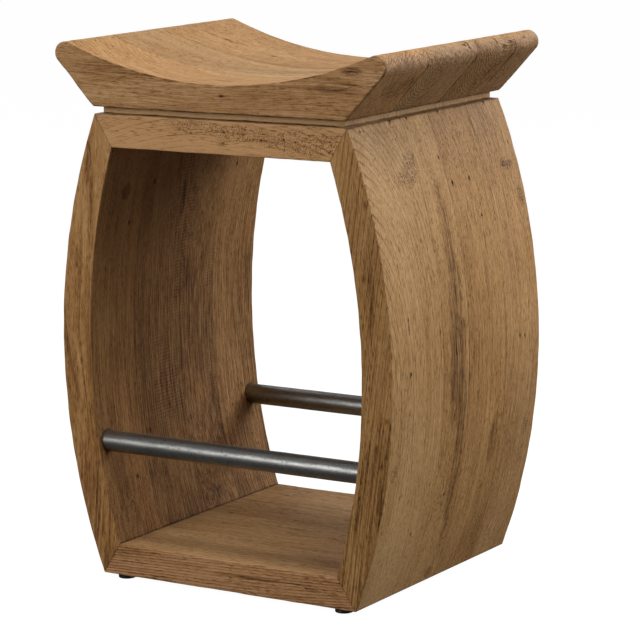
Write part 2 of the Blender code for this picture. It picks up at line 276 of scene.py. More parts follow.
def lattice_shell(counts):
    """The outer points of a lattice, as indices, and the quads that join them, facing out."""
    index = np.full(counts, -1)
    i, j, k = np.indices(counts)
    outer = (i % (counts[0] - 1) == 0) | (j % (counts[1] - 1) == 0) | (k % (counts[2] - 1) == 0)
    index[outer] = np.arange(outer.sum())
    quads = []
    for axis in range(3):
        for side in (0, -1):
            face = np.take(index, side, axis=axis)
            quad = np.stack([face[:-1, :-1], face[1:, :-1], face[1:, 1:], face[:-1, 1:]], axis=-1)
            quad = quad.reshape(-1, 4)
            turned = (axis == 1) == (side == 0)
            quads.append(quad if turned else quad[:, ::-1])
    return np.argwhere(outer), np.concatenate(quads)[:, ::-1]


def volume(points, faces):
    """Six times the signed volume inside closed quads or triangles."""
    total = 0.0
    for k in range(1, faces.shape[1] - 1):
        a, b, c = points[faces[:, 0]], points[faces[:, k]], points[faces[:, k + 1]]
        total += (a * np.cross(b, c)).sum()
    return total


def mesh_from(name, points, faces):
    """A mesh of quads or triangles, turned to face out."""
    points, faces = np.asarray(points, float), np.asarray(faces)
    if volume(points, faces) < 0:
        faces = faces[:, ::-1]
    mesh = bpy.data.meshes.new(name)
    mesh.from_pydata(points.tolist(), [], faces.tolist())
    return mesh


def eased(points, gaps, normals, pair, radius):
    """Moves the points near the edge between two faces onto a round of that radius."""
    s, t = gaps[pair[0]], gaps[pair[1]]
    over_s, over_t = np.maximum(radius - s, 0), np.maximum(radius - t, 0)
    reach = np.hypot(over_s, over_t)
    share = np.where((over_s > 0) & (over_t > 0) & (reach > radius), radius / np.maximum(reach, 1e-9), 1)
    points -= normals[pair[0]] * (over_s * (1 - share))[:, None]
    points -= normals[pair[1]] * (over_t * (1 - share))[:, None]


def board_points(outline, y_front, y_back, arrises, open_faces, wood, seed):
    """The points and quads of one board: its outline between two depths, eased, brushed and a little worn."""
    open_front, open_back = "front" in open_faces, "back" in open_faces
    long_side = max(outline.under.length, outline.over.length)
    thick = min(outline.start.length, outline.end.length)
    open_ends = "end" in open_faces
    u_rows = rows(long_side, STEP_ALONG, open_ends, open_ends, outline.round_ends)
    v_rows = rows(thick, STEP_ACROSS, True, True)
    w_rows = rows(y_back - y_front, STEP_ACROSS, open_front, open_back)
    places, quads = lattice_shell((len(u_rows), len(v_rows), len(w_rows)))
    u, v, w = u_rows[places[:, 0]], v_rows[places[:, 1]], w_rows[places[:, 2]]
    flat = outline.at(u, v)
    points = np.stack([flat[:, 0], y_front + (y_back - y_front) * w, flat[:, 1]], axis=1)
    up = outline.over.at(u) - outline.under.at(u)
    along = outline.end.at(v) - outline.start.at(v)
    edges = {
        "under": (outline.under, u, -up),
        "over": (outline.over, u, up),
        "start": (outline.start, v, -along),
        "end": (outline.end, v, along),
    }
    normals, gaps = {}, {}
    for face, (edge, share, outward) in edges.items():
        normal = edge.normal(share, outward)
        gaps[face] = ((edge.at(share) - flat) * normal).sum(axis=1).clip(0)
        normals[face] = np.stack([normal[:, 0], np.zeros(len(u)), normal[:, 1]], axis=1)
    for face, away, sign in (("front", w, -1), ("back", 1 - w, 1)):
        gaps[face] = away * (y_back - y_front)
        normals[face] = np.tile([0.0, sign, 0.0], (len(u), 1))
    shown = [f for f in open_faces if f != "end"] + (["start", "end"] if open_ends else [])
    on_face = {f: gaps[f] < 1e-7 for f in shown}
    wear = Swell(seed + 7, (0.05, 0.05, 0.05))(points)
    swell = Swell(seed + 8, stretched(0.045, 0.12, wood.axis))(points)
    furrow = 0.5 + 0.5 * np.cos(2 * pi * wood.rings(points))
    depth = BRUSHED * furrow + PLANED * (1 + np.tanh(swell)) / 2
    for pair, radius in arrises:
        eased(points, gaps, normals, pair, radius * (1 + ARRIS_WEAR * np.tanh(wear)))
    lumps = LUMPS * (1 + np.tanh(Swell(seed + 9, (0.011, 0.011, 0.011))(points))) / 2
    for face in shown:
        rough_end = lumps * normals[face][:, X] ** 2 if open_ends else 0.0
        points -= normals[face] * ((depth + rough_end) * on_face[face])[:, None]
    return points, quads


def soften_tip(points, tip, inside, radius):
    """Rounds the long outer corner where a panel and a board meet, both round one line on their mitre."""
    tip, inside = np.array(tip), np.array(inside)
    inward = (inside - tip) / np.linalg.norm(inside - tip)
    lean = abs(inward[1])
    centre = tip + inward * radius / lean
    flat = points[:, (X, Z)]
    arm = flat - centre
    reach = np.linalg.norm(arm, axis=1)
    pull = (arm @ -inward > radius * lean) & (reach > radius)
    flat = np.where(pull[:, None], centre + arm * (radius / np.maximum(reach, 1e-9))[:, None], flat)
    points[:, X], points[:, Z] = flat[:, 0], flat[:, 1]


TIP_ROUNDS = {("bottom", -1): 0.0060, ("bottom", 1): 0.0026, ("top", -1): 0.0026, ("top", 1): 0.0018}


def soften_carcass(points, levels, sides):
    for (level, side), radius in TIP_ROUNDS.items():
        if level not in levels or side not in sides:
            continue
        z_out, z_in = (
            (CARCASS_BOTTOM, BOTTOM_BOARD_TOP) if level == "bottom" else (CARCASS_TOP, TOP_BOARD_UNDERSIDE)
        )
        soften_tip(points, (side * outer_bow(z_out), z_out), (side * inner_bow(z_in), z_in), radius)


# ---- Cutters: joinery, nail holes and splits ----


def turned_mesh(name, profile, sides, closed=False):
    """A shape turned about Z from (radius, height) points; the ends of an open profile lie on the axis."""
    profile = np.array(profile, float)
    inner = profile if closed else profile[1:-1]
    turns = np.arange(sides) * 2 * pi / sides
    ring = np.stack([np.cos(turns), np.sin(turns)], axis=1)
    points = np.concatenate([np.column_stack([ring * r, np.full(sides, h)]) for r, h in inner])
    index = np.arange(len(points)).reshape(len(inner), sides)
    upper = index if closed else index[:-1]
    lower = np.roll(index, -1, axis=0) if closed else index[1:]
    quads = np.stack([upper, np.roll(upper, -1, 1), np.roll(lower, -1, 1), lower], axis=-1).reshape(-1, 4)
    faces = quads.tolist()
    if not closed:
        first, last = len(points), len(points) + 1
        points = np.concatenate([points, [[0, 0, profile[0, 1]], [0, 0, profile[-1, 1]]]])
        for k in range(sides):
            faces.append([index[0, (k + 1) % sides], index[0, k], first])
            faces.append([index[-1, k], index[-1, (k + 1) % sides], last])
    mesh = bpy.data.meshes.new(name)
    mesh.from_pydata(points.tolist(), [], [[int(i) for i in f] for f in faces])
    fix_normals(mesh)
    return mesh


def fix_normals(mesh):
    bm = bmesh.new()
    bm.from_mesh(mesh)
    bmesh.ops.recalc_face_normals(bm, faces=bm.faces)
    bm.to_mesh(mesh)
    bm.free()


def in_scene(name, data):
    made = bpy.data.objects.new(name, data)
    bpy.context.scene.collection.objects.link(made)
    return made


def smoothed(mesh, sharp_degrees):
    mesh.shade_smooth()
    mesh.set_sharp_from_angle(angle=radians(sharp_degrees))


def placed(mesh, matrix):
    mesh.transform(matrix)
    return mesh


def facing(place, normal):
    """A matrix that puts the origin at a place and turns +Z along a normal."""
    turn = Vector(normal).to_track_quat("Z", "Y").to_matrix().to_4x4()
    return Matrix.Translation(Vector(place)) @ turn


def hole_cutter(place, normal, radius, depth, rng):
    lean = Vector(normal) + Vector(rng.uniform(-0.15, 0.15, 3))
    lift = 0.0012
    profile = [(0, lift), (radius * 1.06, lift), (radius, -0.0004)]
    profile += [(radius * 0.75, -depth), (0, -depth * 1.1)]
    return placed(turned_mesh("hole", profile, 12), facing(place, lean))


def split_cutter(path, normals, width, depth, rng):
    """A thin blade along a path on a surface: widest in the middle and closed at both ends."""
    path, normals = np.array(path, float), np.array(normals, float)
    shares = np.linspace(0, 1, 2 + 4 * (len(path) - 1))
    old = np.linspace(0, 1, len(path))
    path = np.stack([np.interp(shares, old, path[:, k]) for k in range(3)], axis=1)
    normals = np.stack([np.interp(shares, old, normals[:, k]) for k in range(3)], axis=1)
    run = np.gradient(path, axis=0)
    side = np.cross(run, normals)
    side /= np.linalg.norm(side, axis=1)[:, None]
    path += side * (rng.normal(size=len(path)) * width * 0.45)[:, None]
    half = np.maximum(width / 2 * np.sin(pi * np.clip(shares, 0.02, 0.98)) ** 0.6, 0.00003)[:, None]
    lift = 0.0008
    ridge = np.stack([path + side * half + normals * lift, path - side * half + normals * lift], axis=1)
    keel = path - normals * depth * np.sin(pi * np.clip(shares, 0.04, 0.96))[:, None] ** 0.5
    points = np.concatenate([ridge, keel[:, None]], axis=1)
    count = len(path)
    index = np.arange(count * 3).reshape(count, 3)
    faces = []
    for i in range(count - 1):
        for j in range(3):
            k = (j + 1) % 3
            faces.append([index[i, j], index[i, k], index[i + 1, k], index[i + 1, j]])
    faces += [index[0].tolist(), index[-1, ::-1].tolist()]
    mesh = bpy.data.meshes.new("split")
    mesh.from_pydata(points.reshape(-1, 3).tolist(), [], [[int(i) for i in f] for f in faces])
    fix_normals(mesh)
    return mesh


def grown_copy(node, clearance):
    """A CAD node's mesh, grown by a clearance all round, to cut the room that it stands in."""
    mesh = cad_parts[node].data.copy()
    mesh.materials.clear()
    bm = bmesh.new()
    bm.from_mesh(mesh)
    bmesh.ops.remove_doubles(bm, verts=bm.verts, dist=1e-6)
    bmesh.ops.recalc_face_normals(bm, faces=bm.faces)
    for vertex in bm.verts:
        vertex.co += vertex.normal * clearance
    bm.to_mesh(mesh)
    bm.free()
    return mesh


JOINERY_CLEARANCE = 0.00025
END_CLEARANCE = 0.0003
SCREW_ROOM_HEAD = 0.0051
SCREW_ROOM_SHANK = 0.0028
SCREW_ROOM_CORE = 0.0024
SCREW_ROOM_POINT = 0.005
SCREW_ROOM_RUNOUT = 0.0015
SINK_DEPTH = 0.0027
SINK_RIM = 0.0004
SHANK_LENGTH = 0.0460
MOUTH = 0.001
GLIDE_BORE = 0.00205
PILOT_START = 0.004
SCREW_NODES = [f"seat_screw_{i}" for i in range(1, 7)]
CORNERS = [f"{end}_{side}" for end in ("front", "rear") for side in ("left", "right")]
TENON_NODES = [
    f"tenon_{level}_{side}_{i}"
    for level in ("top", "bottom")
    for side in ("left", "right")
    for i in range(1, 5)
]


def socket_cutter(rail):
    low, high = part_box(rail)
    radius = (high.z - low.z) / 2 + JOINERY_CLEARANCE
    half = (high.x - low.x) / 2 + JOINERY_CLEARANCE
    turn = Matrix.Rotation(radians(90), 4, "Y")
    mesh = turned_mesh("socket", [(0, half), (radius, half), (radius, -half), (0, -half)], 72)
    return placed(mesh, Matrix.Translation((low + high) / 2) @ turn)


def screw_hole_cutter(node):
    low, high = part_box(node)
    middle = (low + high) / 2
    head, shank, core = SCREW_ROOM_HEAD, SCREW_ROOM_SHANK, SCREW_ROOM_CORE
    top = high.z - low.z + END_CLEARANCE
    profile = [(0, top), (core, top - SCREW_ROOM_POINT), (core, SHANK_LENGTH + SCREW_ROOM_RUNOUT)]
    profile += [(shank, SHANK_LENGTH), (shank, SINK_DEPTH), (head, SINK_RIM), (head, -MOUTH), (0, -MOUTH)]
    return placed(turned_mesh("screw_hole", profile, 24), Matrix.Translation((middle.x, middle.y, low.z)))


def pilot_cutter(corner):
    low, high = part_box(f"glide_screw_{corner}")
    middle = (low + high) / 2
    profile = [(0, high.z + END_CLEARANCE), (GLIDE_BORE, high.z), (GLIDE_BORE, PILOT_START), (0, PILOT_START)]
    return placed(turned_mesh("pilot", profile, 16), Matrix.Translation((middle.x, middle.y, 0)))


def joinery_cutters():
    cutters = [socket_cutter(rail) for rail in ("front_rail", "rear_rail")]
    cutters += [screw_hole_cutter(node) for node in SCREW_NODES]
    cutters += [pilot_cutter(corner) for corner in CORNERS]
    cutters += [grown_copy(node, JOINERY_CLEARANCE) for node in TENON_NODES]
    return cutters


def at_vertices(mesh, kind):
    values = np.empty(len(mesh.vertices) * 3, np.float32)
    mesh.vertices.foreach_get(kind, values)
    return values.reshape(-1, 3).astype(float)


def move_vertices(mesh, points):
    mesh.vertices.foreach_set("co", points.astype(np.float32).ravel())


def corners_of(mesh):
    points = at_vertices(mesh, "co")
    return points.min(0), points.max(0)


def touching(mesh_box, other_box):
    return bool((mesh_box[0] < other_box[1]).all() and (other_box[0] < mesh_box[1]).all())


def cut_away(piece, cutters):
    """Cuts every cutter from a piece in one Boolean, and keeps the result as its mesh.

    Cutters that cross each other need the slower second try.
    """
    joined = bmesh.new()
    for cutter in cutters:
        joined.from_mesh(cutter)
    mesh = bpy.data.meshes.new("cutters")
    joined.to_mesh(mesh)
    joined.free()
    tool = in_scene("cutters", mesh)
    modifier = piece.modifiers.new("cut", "BOOLEAN")
    modifier.operation = "DIFFERENCE"
    modifier.solver = "EXACT"
    modifier.object = tool
    for crossing in (False, True):
        modifier.use_self = crossing
        graph = bpy.context.evaluated_depsgraph_get()
        result = bpy.data.meshes.new_from_object(piece.evaluated_get(graph))
        if len(result.polygons) > len(piece.data.polygons) / 2:
            break
    piece.modifiers.clear()
    old = piece.data
    piece.data = result
    bpy.data.meshes.remove(old)
    bpy.data.objects.remove(tool)
    bpy.data.meshes.remove(mesh)


# ---- Shader building ----


class Shader:
    """A material's node tree, with short calls for the nodes that the looks use."""

    def __init__(self, name):
        self.material = bpy.data.materials.new(name)
        self.material.use_nodes = True
        self.tree = self.material.node_tree
        self.surface = self.tree.nodes["Principled BSDF"]

    def node(self, kind, inputs, output=0, **settings):
        made = self.tree.nodes.new("ShaderNode" + kind)
        for key, value in settings.items():
            setattr(made, key, value)
        for key, value in inputs.items():
            self.put(made.inputs[key], value)
        return made.outputs[output]

    def put(self, socket, value):
        if isinstance(value, bpy.types.NodeSocket):
            self.tree.links.new(value, socket)
        else:
            socket.default_value = value

    def math(self, operation, *values, clamp=False):
        inputs = dict(enumerate(values))
        return self.node("Math", inputs, operation=operation, use_clamp=clamp)

    def vector(self, operation, *values, output=0):
        return self.node("VectorMath", dict(enumerate(values)), output, operation=operation)

    def combine(self, x, y, z):
        return self.node("CombineXYZ", {"X": x, "Y": y, "Z": z})

    def noise(self, place, detail=2.0, roughness=0.5, distortion=0.0):
        inputs = {
            "Vector": place,
            "Scale": 1.0,
            "Detail": detail,
            "Roughness": roughness,
            "Distortion": distortion,
        }
        return self.node("TexNoise", inputs)

    def texture(self, place, frequencies, detail, roughness, distortion=0.0):
        """Noise with its own frequency along each axis."""
        return self.noise(self.vector("MULTIPLY", place, frequencies), detail, roughness, distortion)

    def finish(self, colour, roughness, normal):
        for name, value in (("Base Color", colour), ("Roughness", roughness), ("Normal", normal)):
            self.put(self.surface.inputs[name], value)
        return self.material

    def fit(self, value, low, high, to_low=0.0, to_high=1.0, smooth=False):
        """Maps low..high to to_low..to_high, clamped."""
        inputs = {"Value": value, "From Min": low, "From Max": high, "To Min": to_low, "To Max": to_high}
        return self.node("MapRange", inputs, interpolation_type="SMOOTHSTEP" if smooth else "LINEAR")

    def ramp(self, value, stops):
        made = self.tree.nodes.new("ShaderNodeValToRGB")
        self.put(made.inputs["Fac"], value)
        elements = made.color_ramp.elements
        for k, (place, colour) in enumerate(stops):
            element = elements[k] if k < 2 else elements.new(place)
            element.position = place
            element.color = (*colour, 1)
        return made.outputs["Color"]

    def mix(self, share, a, b, blend="MIX"):
        made = self.tree.nodes.new("ShaderNodeMix")
        made.data_type = "RGBA"
        made.blend_type = blend
        for key, value in (("Factor", share), ("A", a), ("B", b)):
            sockets = [s for s in made.inputs if s.name == key and s.enabled]
            if isinstance(value, tuple):
                value = (*value, 1)
            self.put(sockets[0], value)
        return next(s for s in made.outputs if s.enabled)

    def bump(self, height, distance, strength):
        return self.node("Bump", {"Height": height, "Distance": distance, "Strength": strength})

    def attribute(self, name):
        return self.node("Attribute", {}, 2, attribute_name=name)

    def place(self):
        return self.node("TexCoord", {}, 3)


def scaled(s, place, across, along, axis, shift):
    """The place with one frequency across the grain and another along it, moved by a seed's shift."""
    scale = [across] * 3
    scale[AXIS[axis]] = along
    moved = s.vector("MULTIPLY", place, tuple(scale))
    return s.vector("ADD", moved, (shift, shift * 0.7, shift * 1.3))


def blot(s, place, spot, edge):
    """A soft patch from 0 to its strength: (middle, half sizes, strength, softness)."""
    middle, half, strength, softness = spot
    away = s.vector("SUBTRACT", place, tuple(middle))
    away = s.vector("DIVIDE", away, tuple(half))
    distance = s.vector("LENGTH", away, output=1)
    distance = s.math("ADD", distance, edge)
    return s.fit(distance, 1.0, 1.0 + softness, strength, 0.0, smooth=True)


def strongest(s, values):
    best = values[0]
    for value in values[1:]:
        best = s.math("MAXIMUM", best, value)
    return best


def summed(s, terms):
    """The sum of value x weight pairs."""
    total = 0.0
    for value, weight in terms:
        total = s.math("MULTIPLY_ADD", value, weight, total)
    return total


ELM = (
    (0.00, (0.560, 0.345, 0.165)),
    (0.22, (0.435, 0.243, 0.097)),
    (0.42, (0.300, 0.150, 0.050)),
    (0.60, (0.178, 0.081, 0.026)),
    (0.78, (0.078, 0.034, 0.012)),
    (1.00, (0.014, 0.009, 0.006)),
)
WEATHERED = (0.205, 0.150, 0.098)
END_GRAIN = 0.09
WASHBOARD = 0.0042
LOOKS = {
    "tone": 0.36,
    "ring": 0.16,
    "streak": 0.42,
    "dash": 0.34,
    "fleck": 0.38,
    "grey": 0.12,
    "sharp": 5.0,
    "wobble": 0.22,
    "ripple": 0.0,
    "rim": -0.10,
    "line": 0.0,
    "patch": 0.15,
    "tint": (1.0, 1.0, 1.0),
    # front: painted light and shade, a tint for faces turned to the front (-Y)
    "front": (1.0, 1.0, 1.0),
    "burl": (),
    "burl_depth": 0.62,
}


def centred(s, field):
    return s.math("SUBTRACT", field, 0.5)


def wood_material(name, wood, seed, spots, looks):
    """Oiled reclaimed elm. LOOKS lists what a board can change; tone sets how dark it is; front is painted
    light and shade on the faces turned to the front.
    """
    looks = {**LOOKS, **looks}
    s = Shader(name)
    shift = 3.7 * seed
    axis = wood.axis
    place = s.place()
    rings = s.attribute("rings")
    split = s.node("SeparateXYZ", {"Vector": place})
    axes = {k: split.node.outputs[k] for k in "XYZ"}
    grain = s.combine(s.math("MULTIPLY", rings, wood.spacing), axes["Y"], axes[axis])

    def drawn(across, along, detail, roughness, number):
        return s.noise(scaled(s, place, across, along, axis, shift + number), detail, roughness)

    # Growth rings: each darkens slowly to its late wood, then ends sharply
    wobble = s.texture(grain, (120, 120, 7), 3, 0.6)
    line = s.math("FRACT", s.math("MULTIPLY_ADD", wobble, looks["wobble"], rings))
    late = s.math("POWER", line, looks["sharp"])
    early = s.fit(line, 0.02, 0.30, 1.0, 0.0)
    broad = drawn(17, 3.2, 2, 0.5, 0)
    patchy = s.fit(broad, 0.36, 0.58, looks["patch"], 1.0)
    streak_place = s.vector("ADD", s.vector("MULTIPLY", grain, (230, 40, 2.0)), (shift, 0, shift))
    streak = s.noise(streak_place, 4, 0.65)

    # Fibres, pores and flecks, drawn out along the grain
    fibre = s.texture(grain, (470, 360, 12), 4, 0.66)
    hair = drawn(960, 64, 3, 0.6, 3)
    fleck = drawn(300, 120, 3, 0.7, 4)
    dash_field = drawn(640, 92, 2, 0.55, 6)
    crowd = s.fit(drawn(75, 14, 3, 0.6, 7), 0.36, 0.62, 0.25, 1.0)
    dashes = s.math("MULTIPLY", s.fit(dash_field, 0.555, 0.650), crowd)
    pores = s.fit(drawn(1250, 210, 1, 0.5, 8), 0.60, 0.70)

    # Broad tone: cloudy patches, old dirt and saw marks across the grain
    cloud = drawn(11, 4, 3, 0.55, 5)
    dirt_field = drawn(60, 30, 4, 0.70, 9)
    dirt = s.fit(dirt_field, 0.56, 0.74)
    front = s.attribute("front")
    seam = s.math("MULTIPLY", s.attribute("seam"), s.fit(dirt_field, 0.36, 0.56, 0.45, 1.0))
    seam = s.math("MULTIPLY", seam, s.math("MULTIPLY_ADD", front, -0.65, 1.0))
    cut = s.attribute("cut")
    edge = s.attribute("edge")
    rub = s.math("MULTIPLY", edge, s.fit(dirt_field, 0.40, 0.60))
    arris_line = s.math("MULTIPLY", s.math("POWER", edge, 3.0), s.fit(dirt_field, 0.34, 0.54, 0.45, 1.0))
    turns = s.math("MULTIPLY", axes[axis], 2 * pi / WASHBOARD)
    beat = s.math("MULTIPLY_ADD", drawn(30, 30, 2, 0.5, 2), 5.0, turns)
    ridges = s.math("MULTIPLY", s.math("SINE", beat), s.math("MULTIPLY_ADD", front, -0.07, 0.07))
    saw = s.math("MULTIPLY", ridges, s.fit(cloud, 0.53, 0.63))

    terms = [
        (s.math("MULTIPLY", late, patchy), 1.35 * looks["ring"]),
        (s.math("MULTIPLY", late, cut), 1.60 * looks["ring"]),
        (cut, END_GRAIN),
        (early, -0.12 * looks["ring"]),
        (centred(s, streak), looks["streak"]),
        (centred(s, fibre), 0.72),
        (centred(s, hair), 0.60),
        (centred(s, fleck), looks["fleck"]),
        (dashes, looks["dash"]),
        (pores, 0.12),
        (centred(s, cloud), 0.34),
        (centred(s, broad), 0.26),
        (dirt, 0.10),
        (seam, 0.80),
        (rub, looks["rim"]),
        (arris_line, looks["line"]),
        (saw, looks["ripple"]),
    ]
    frayed = s.math("MULTIPLY_ADD", centred(s, dirt_field), 2.4, s.math("MULTIPLY", centred(s, fibre), 2.2))
    if looks["burl"]:
        curl = s.texture(place, (330, 330, 330), 1, 0.5, 0.9)
        curl = s.fit(s.math("ABSOLUTE", centred(s, curl)), 0.014, 0.048, 1.0, 0.0)
        masks = [blot(s, place, spot, centred(s, dirt_field)) for spot in looks["burl"]]
        terms.append((s.math("MULTIPLY", curl, strongest(s, masks)), looks["burl_depth"]))
    # Stains, hole and split halos, and patches of painted shade, each darkening the wood
    if spots:
        stain_and_shade = strongest(s, [blot(s, place, spot, frayed) for spot in spots])
        torn = s.math("MULTIPLY_ADD", s.fit(fibre, 0.42, 0.62), 1.1, 0.45)
        terms.append((s.math("MULTIPLY", stain_and_shade, torn), 1.0))
    dark = s.math("ADD", summed(s, terms), looks["tone"] - 0.35 * looks["ring"] - 0.3 * looks["dash"])
    colour = s.ramp(dark, ELM)
    weather = s.fit(drawn(21, 5, 3, 0.6, 14), 0.42, 0.72, 0.0, looks["grey"])
    weather = s.math("MULTIPLY_ADD", cut, 0.55, weather, clamp=True)
    colour = s.mix(weather, colour, s.mix(0.45, colour, WEATHERED))
    # Faces turned to the front get their own tint: painted light and shade, lighter or darker than the
    # board's other faces as the light falls on that side
    tint = s.mix(front, looks["tint"], looks["front"])
    colour = s.mix(1.0, colour, tint, blend="MULTIPLY")

    # Satin oil: duller in pores and dirt, closer on worn arrises
    gloss = s.math("MULTIPLY_ADD", centred(s, fibre), 0.20, 0.54)
    gloss = s.math("MULTIPLY_ADD", dashes, 0.16, gloss)
    gloss = s.math("MULTIPLY_ADD", rub, -0.10, gloss)
    s.surface.inputs["Specular IOR Level"].default_value = 0.20
    relief = [
        (late, -0.30),
        (s.math("MULTIPLY", late, cut), -1.2),
        (centred(s, fibre), 0.90),
        (centred(s, hair), 0.50),
        (dashes, -0.80),
        (saw, 0.60 + 2.5 * looks["ripple"]),
    ]
    return s.finish(colour, gloss, s.bump(summed(s, relief), 0.00055, 0.8))


def steel_material():
    """Blackened steel tube: mottled scale, fine draw lines along X and a few rubbed places."""
    s = Shader("blackened_steel")
    place = s.place()
    mottle = s.texture(place, (150, 260, 260), 5, 0.68)
    pits = s.fit(s.texture(place, (380, 420, 420), 3, 0.6), 0.57, 0.68)
    draw = s.texture(place, (14, 2600, 2600), 3, 0.6)
    cloud = s.texture(place, (22, 60, 60), 3, 0.6)
    dark = summed(s, [(mottle, 0.55), (pits, 0.30), (centred(s, cloud), 0.45), (1.0, 0.17)])
    stops = ((0.15, (0.400, 0.396, 0.376)), (0.55, (0.240, 0.238, 0.228)), (1.0, (0.050, 0.049, 0.047)))
    s.surface.inputs["Metallic"].default_value = 1.0
    rough = s.math("MULTIPLY_ADD", mottle, 0.10, 0.32)
    rough = s.math("MULTIPLY_ADD", pits, 0.18, rough)
    height = summed(s, [(mottle, 0.5), (pits, -0.5), (draw, 0.25)])
    return s.finish(s.ramp(dark, stops), rough, s.bump(height, 0.00018, 0.6))


def zinc_material():
    s = Shader("zinc_plate")
    place = s.place()
    grain = s.texture(place, (900, 900, 900), 4, 0.6)
    tint = s.texture(place, (120, 120, 120), 2, 0.5)
    colour = s.ramp(tint, ((0.3, (0.50, 0.47, 0.38)), (0.7, (0.62, 0.62, 0.60))))
    s.surface.inputs["Metallic"].default_value = 1.0
    return s.finish(colour, s.math("MULTIPLY_ADD", grain, 0.25, 0.22), s.bump(grain, 0.00006, 0.5))


def nylon_material():
    s = Shader("moulded_nylon")
    place = s.place()
    pebble = s.texture(place, (1800, 1800, 1800), 3, 0.55)
    scuff = s.fit(s.texture(place, (240, 240, 240), 4, 0.7), 0.55, 0.75)
    colour = s.ramp(scuff, ((0.0, (0.010, 0.010, 0.011)), (1.0, (0.060, 0.058, 0.055))))
    return s.finish(colour, s.math("MULTIPLY_ADD", scuff, 0.20, 0.42), s.bump(pebble, 0.00008, 0.6))


def beech_material():
    s = Shader("tenon_beech")
    place = s.place()
    fibre = s.texture(place, (120, 900, 120), 4, 0.6)
    flecks = s.fit(s.texture(place, (700, 300, 700), 2, 0.5), 0.58, 0.66)
    dark = summed(s, [(fibre, 0.7), (flecks, 0.3)])
    colour = s.ramp(dark, ((0.2, (0.62, 0.44, 0.27)), (0.9, (0.36, 0.21, 0.11))))
    return s.finish(colour, s.math("MULTIPLY_ADD", fibre, 0.2, 0.5), s.bump(fibre, 0.0002, 0.5))


# ---- Boards ----


def joint_depths(prefix, index, count):
    """The front and back depth of a board, carried to the middle of each glue joint."""
    low, high = span(f"{prefix}_{index}", Y)
    if index > 1:
        low = (low + span(f"{prefix}_{index - 1}", Y)[1]) / 2 + JOINT_SLACK
    if index < count:
        high = (high + span(f"{prefix}_{index + 1}", Y)[0]) / 2 - JOINT_SLACK
    return low, high


def seat_surface(x, y):
    z = DISH_Z - (DISH_RADIUS**2 - x * x) ** 0.5
    normal = Vector((-x, 0, DISH_Z - z)).normalized()
    return (x, y, z), tuple(normal)


def stave_surface(side, face, y, z):
    """A place on a bowed panel's inner or outer face, and its outward normal."""
    waist, radius = (OUTER_WAIST, OUTER_RADIUS) if face == "outer" else (INNER_WAIST, INNER_RADIUS)
    x = bow(z, waist, radius)
    normal = Vector(((x - waist + radius) * side, 0, z - WAIST_HEIGHT)).normalized()
    if face == "inner":
        normal = -normal
    return (side * x, y, z), tuple(normal)


def end_surface(side, y, height):
    """A place on the seat's undercut end, height metres above its underside, and its outward normal."""
    lean = np.array([cos(HORN_FIRST), sin(HORN_FIRST)])
    reach = -height * lean[1] / lean[0]
    return (side * (UNDERSIDE_HALF + reach), y, SEAT_UNDERSIDE + height), (side * lean[0], 0.0, lean[1])


def depths(board):
    """The front and rear of the assembly that a board belongs to."""
    return (SEAT_FRONT, SEAT_REAR) if board.startswith("seat") else (CARCASS_FRONT, CARCASS_REAR)


def horn_surface(side, y, turn):
    """A place on the seat's horn, turn degrees above level, and its outward normal."""
    out, up = cos(radians(turn)), sin(radians(turn))
    return (side * (HORN_CENTRE + HORN_RADIUS * out), y, HORN_Z + HORN_RADIUS * up), (side * out, 0.0, up)


def surface(board, face, a, b):
    front, rear = depths(board)
    if face == "front":
        return (a, front, b), (0, -1, 0)
    if face == "back":
        return (a, rear, b), (0, 1, 0)
    if board.startswith(("left_stave", "right_stave")):
        return stave_surface(-1 if board.startswith("left") else 1, face, a, b)
    if face == "dish":
        return seat_surface(a, b)
    if face == "right_end":
        return end_surface(1, a, b)
    if face == "left_end":
        return end_surface(-1, a, b)
    if face.endswith("horn"):
        return horn_surface(-1 if face.startswith("left") else 1, a, b)
    if face == "floor":
        return (a, b, BOTTOM_BOARD_TOP), (0, 0, 1)
    return (a, b, TOP_BOARD_UNDERSIDE), (0, 0, -1)


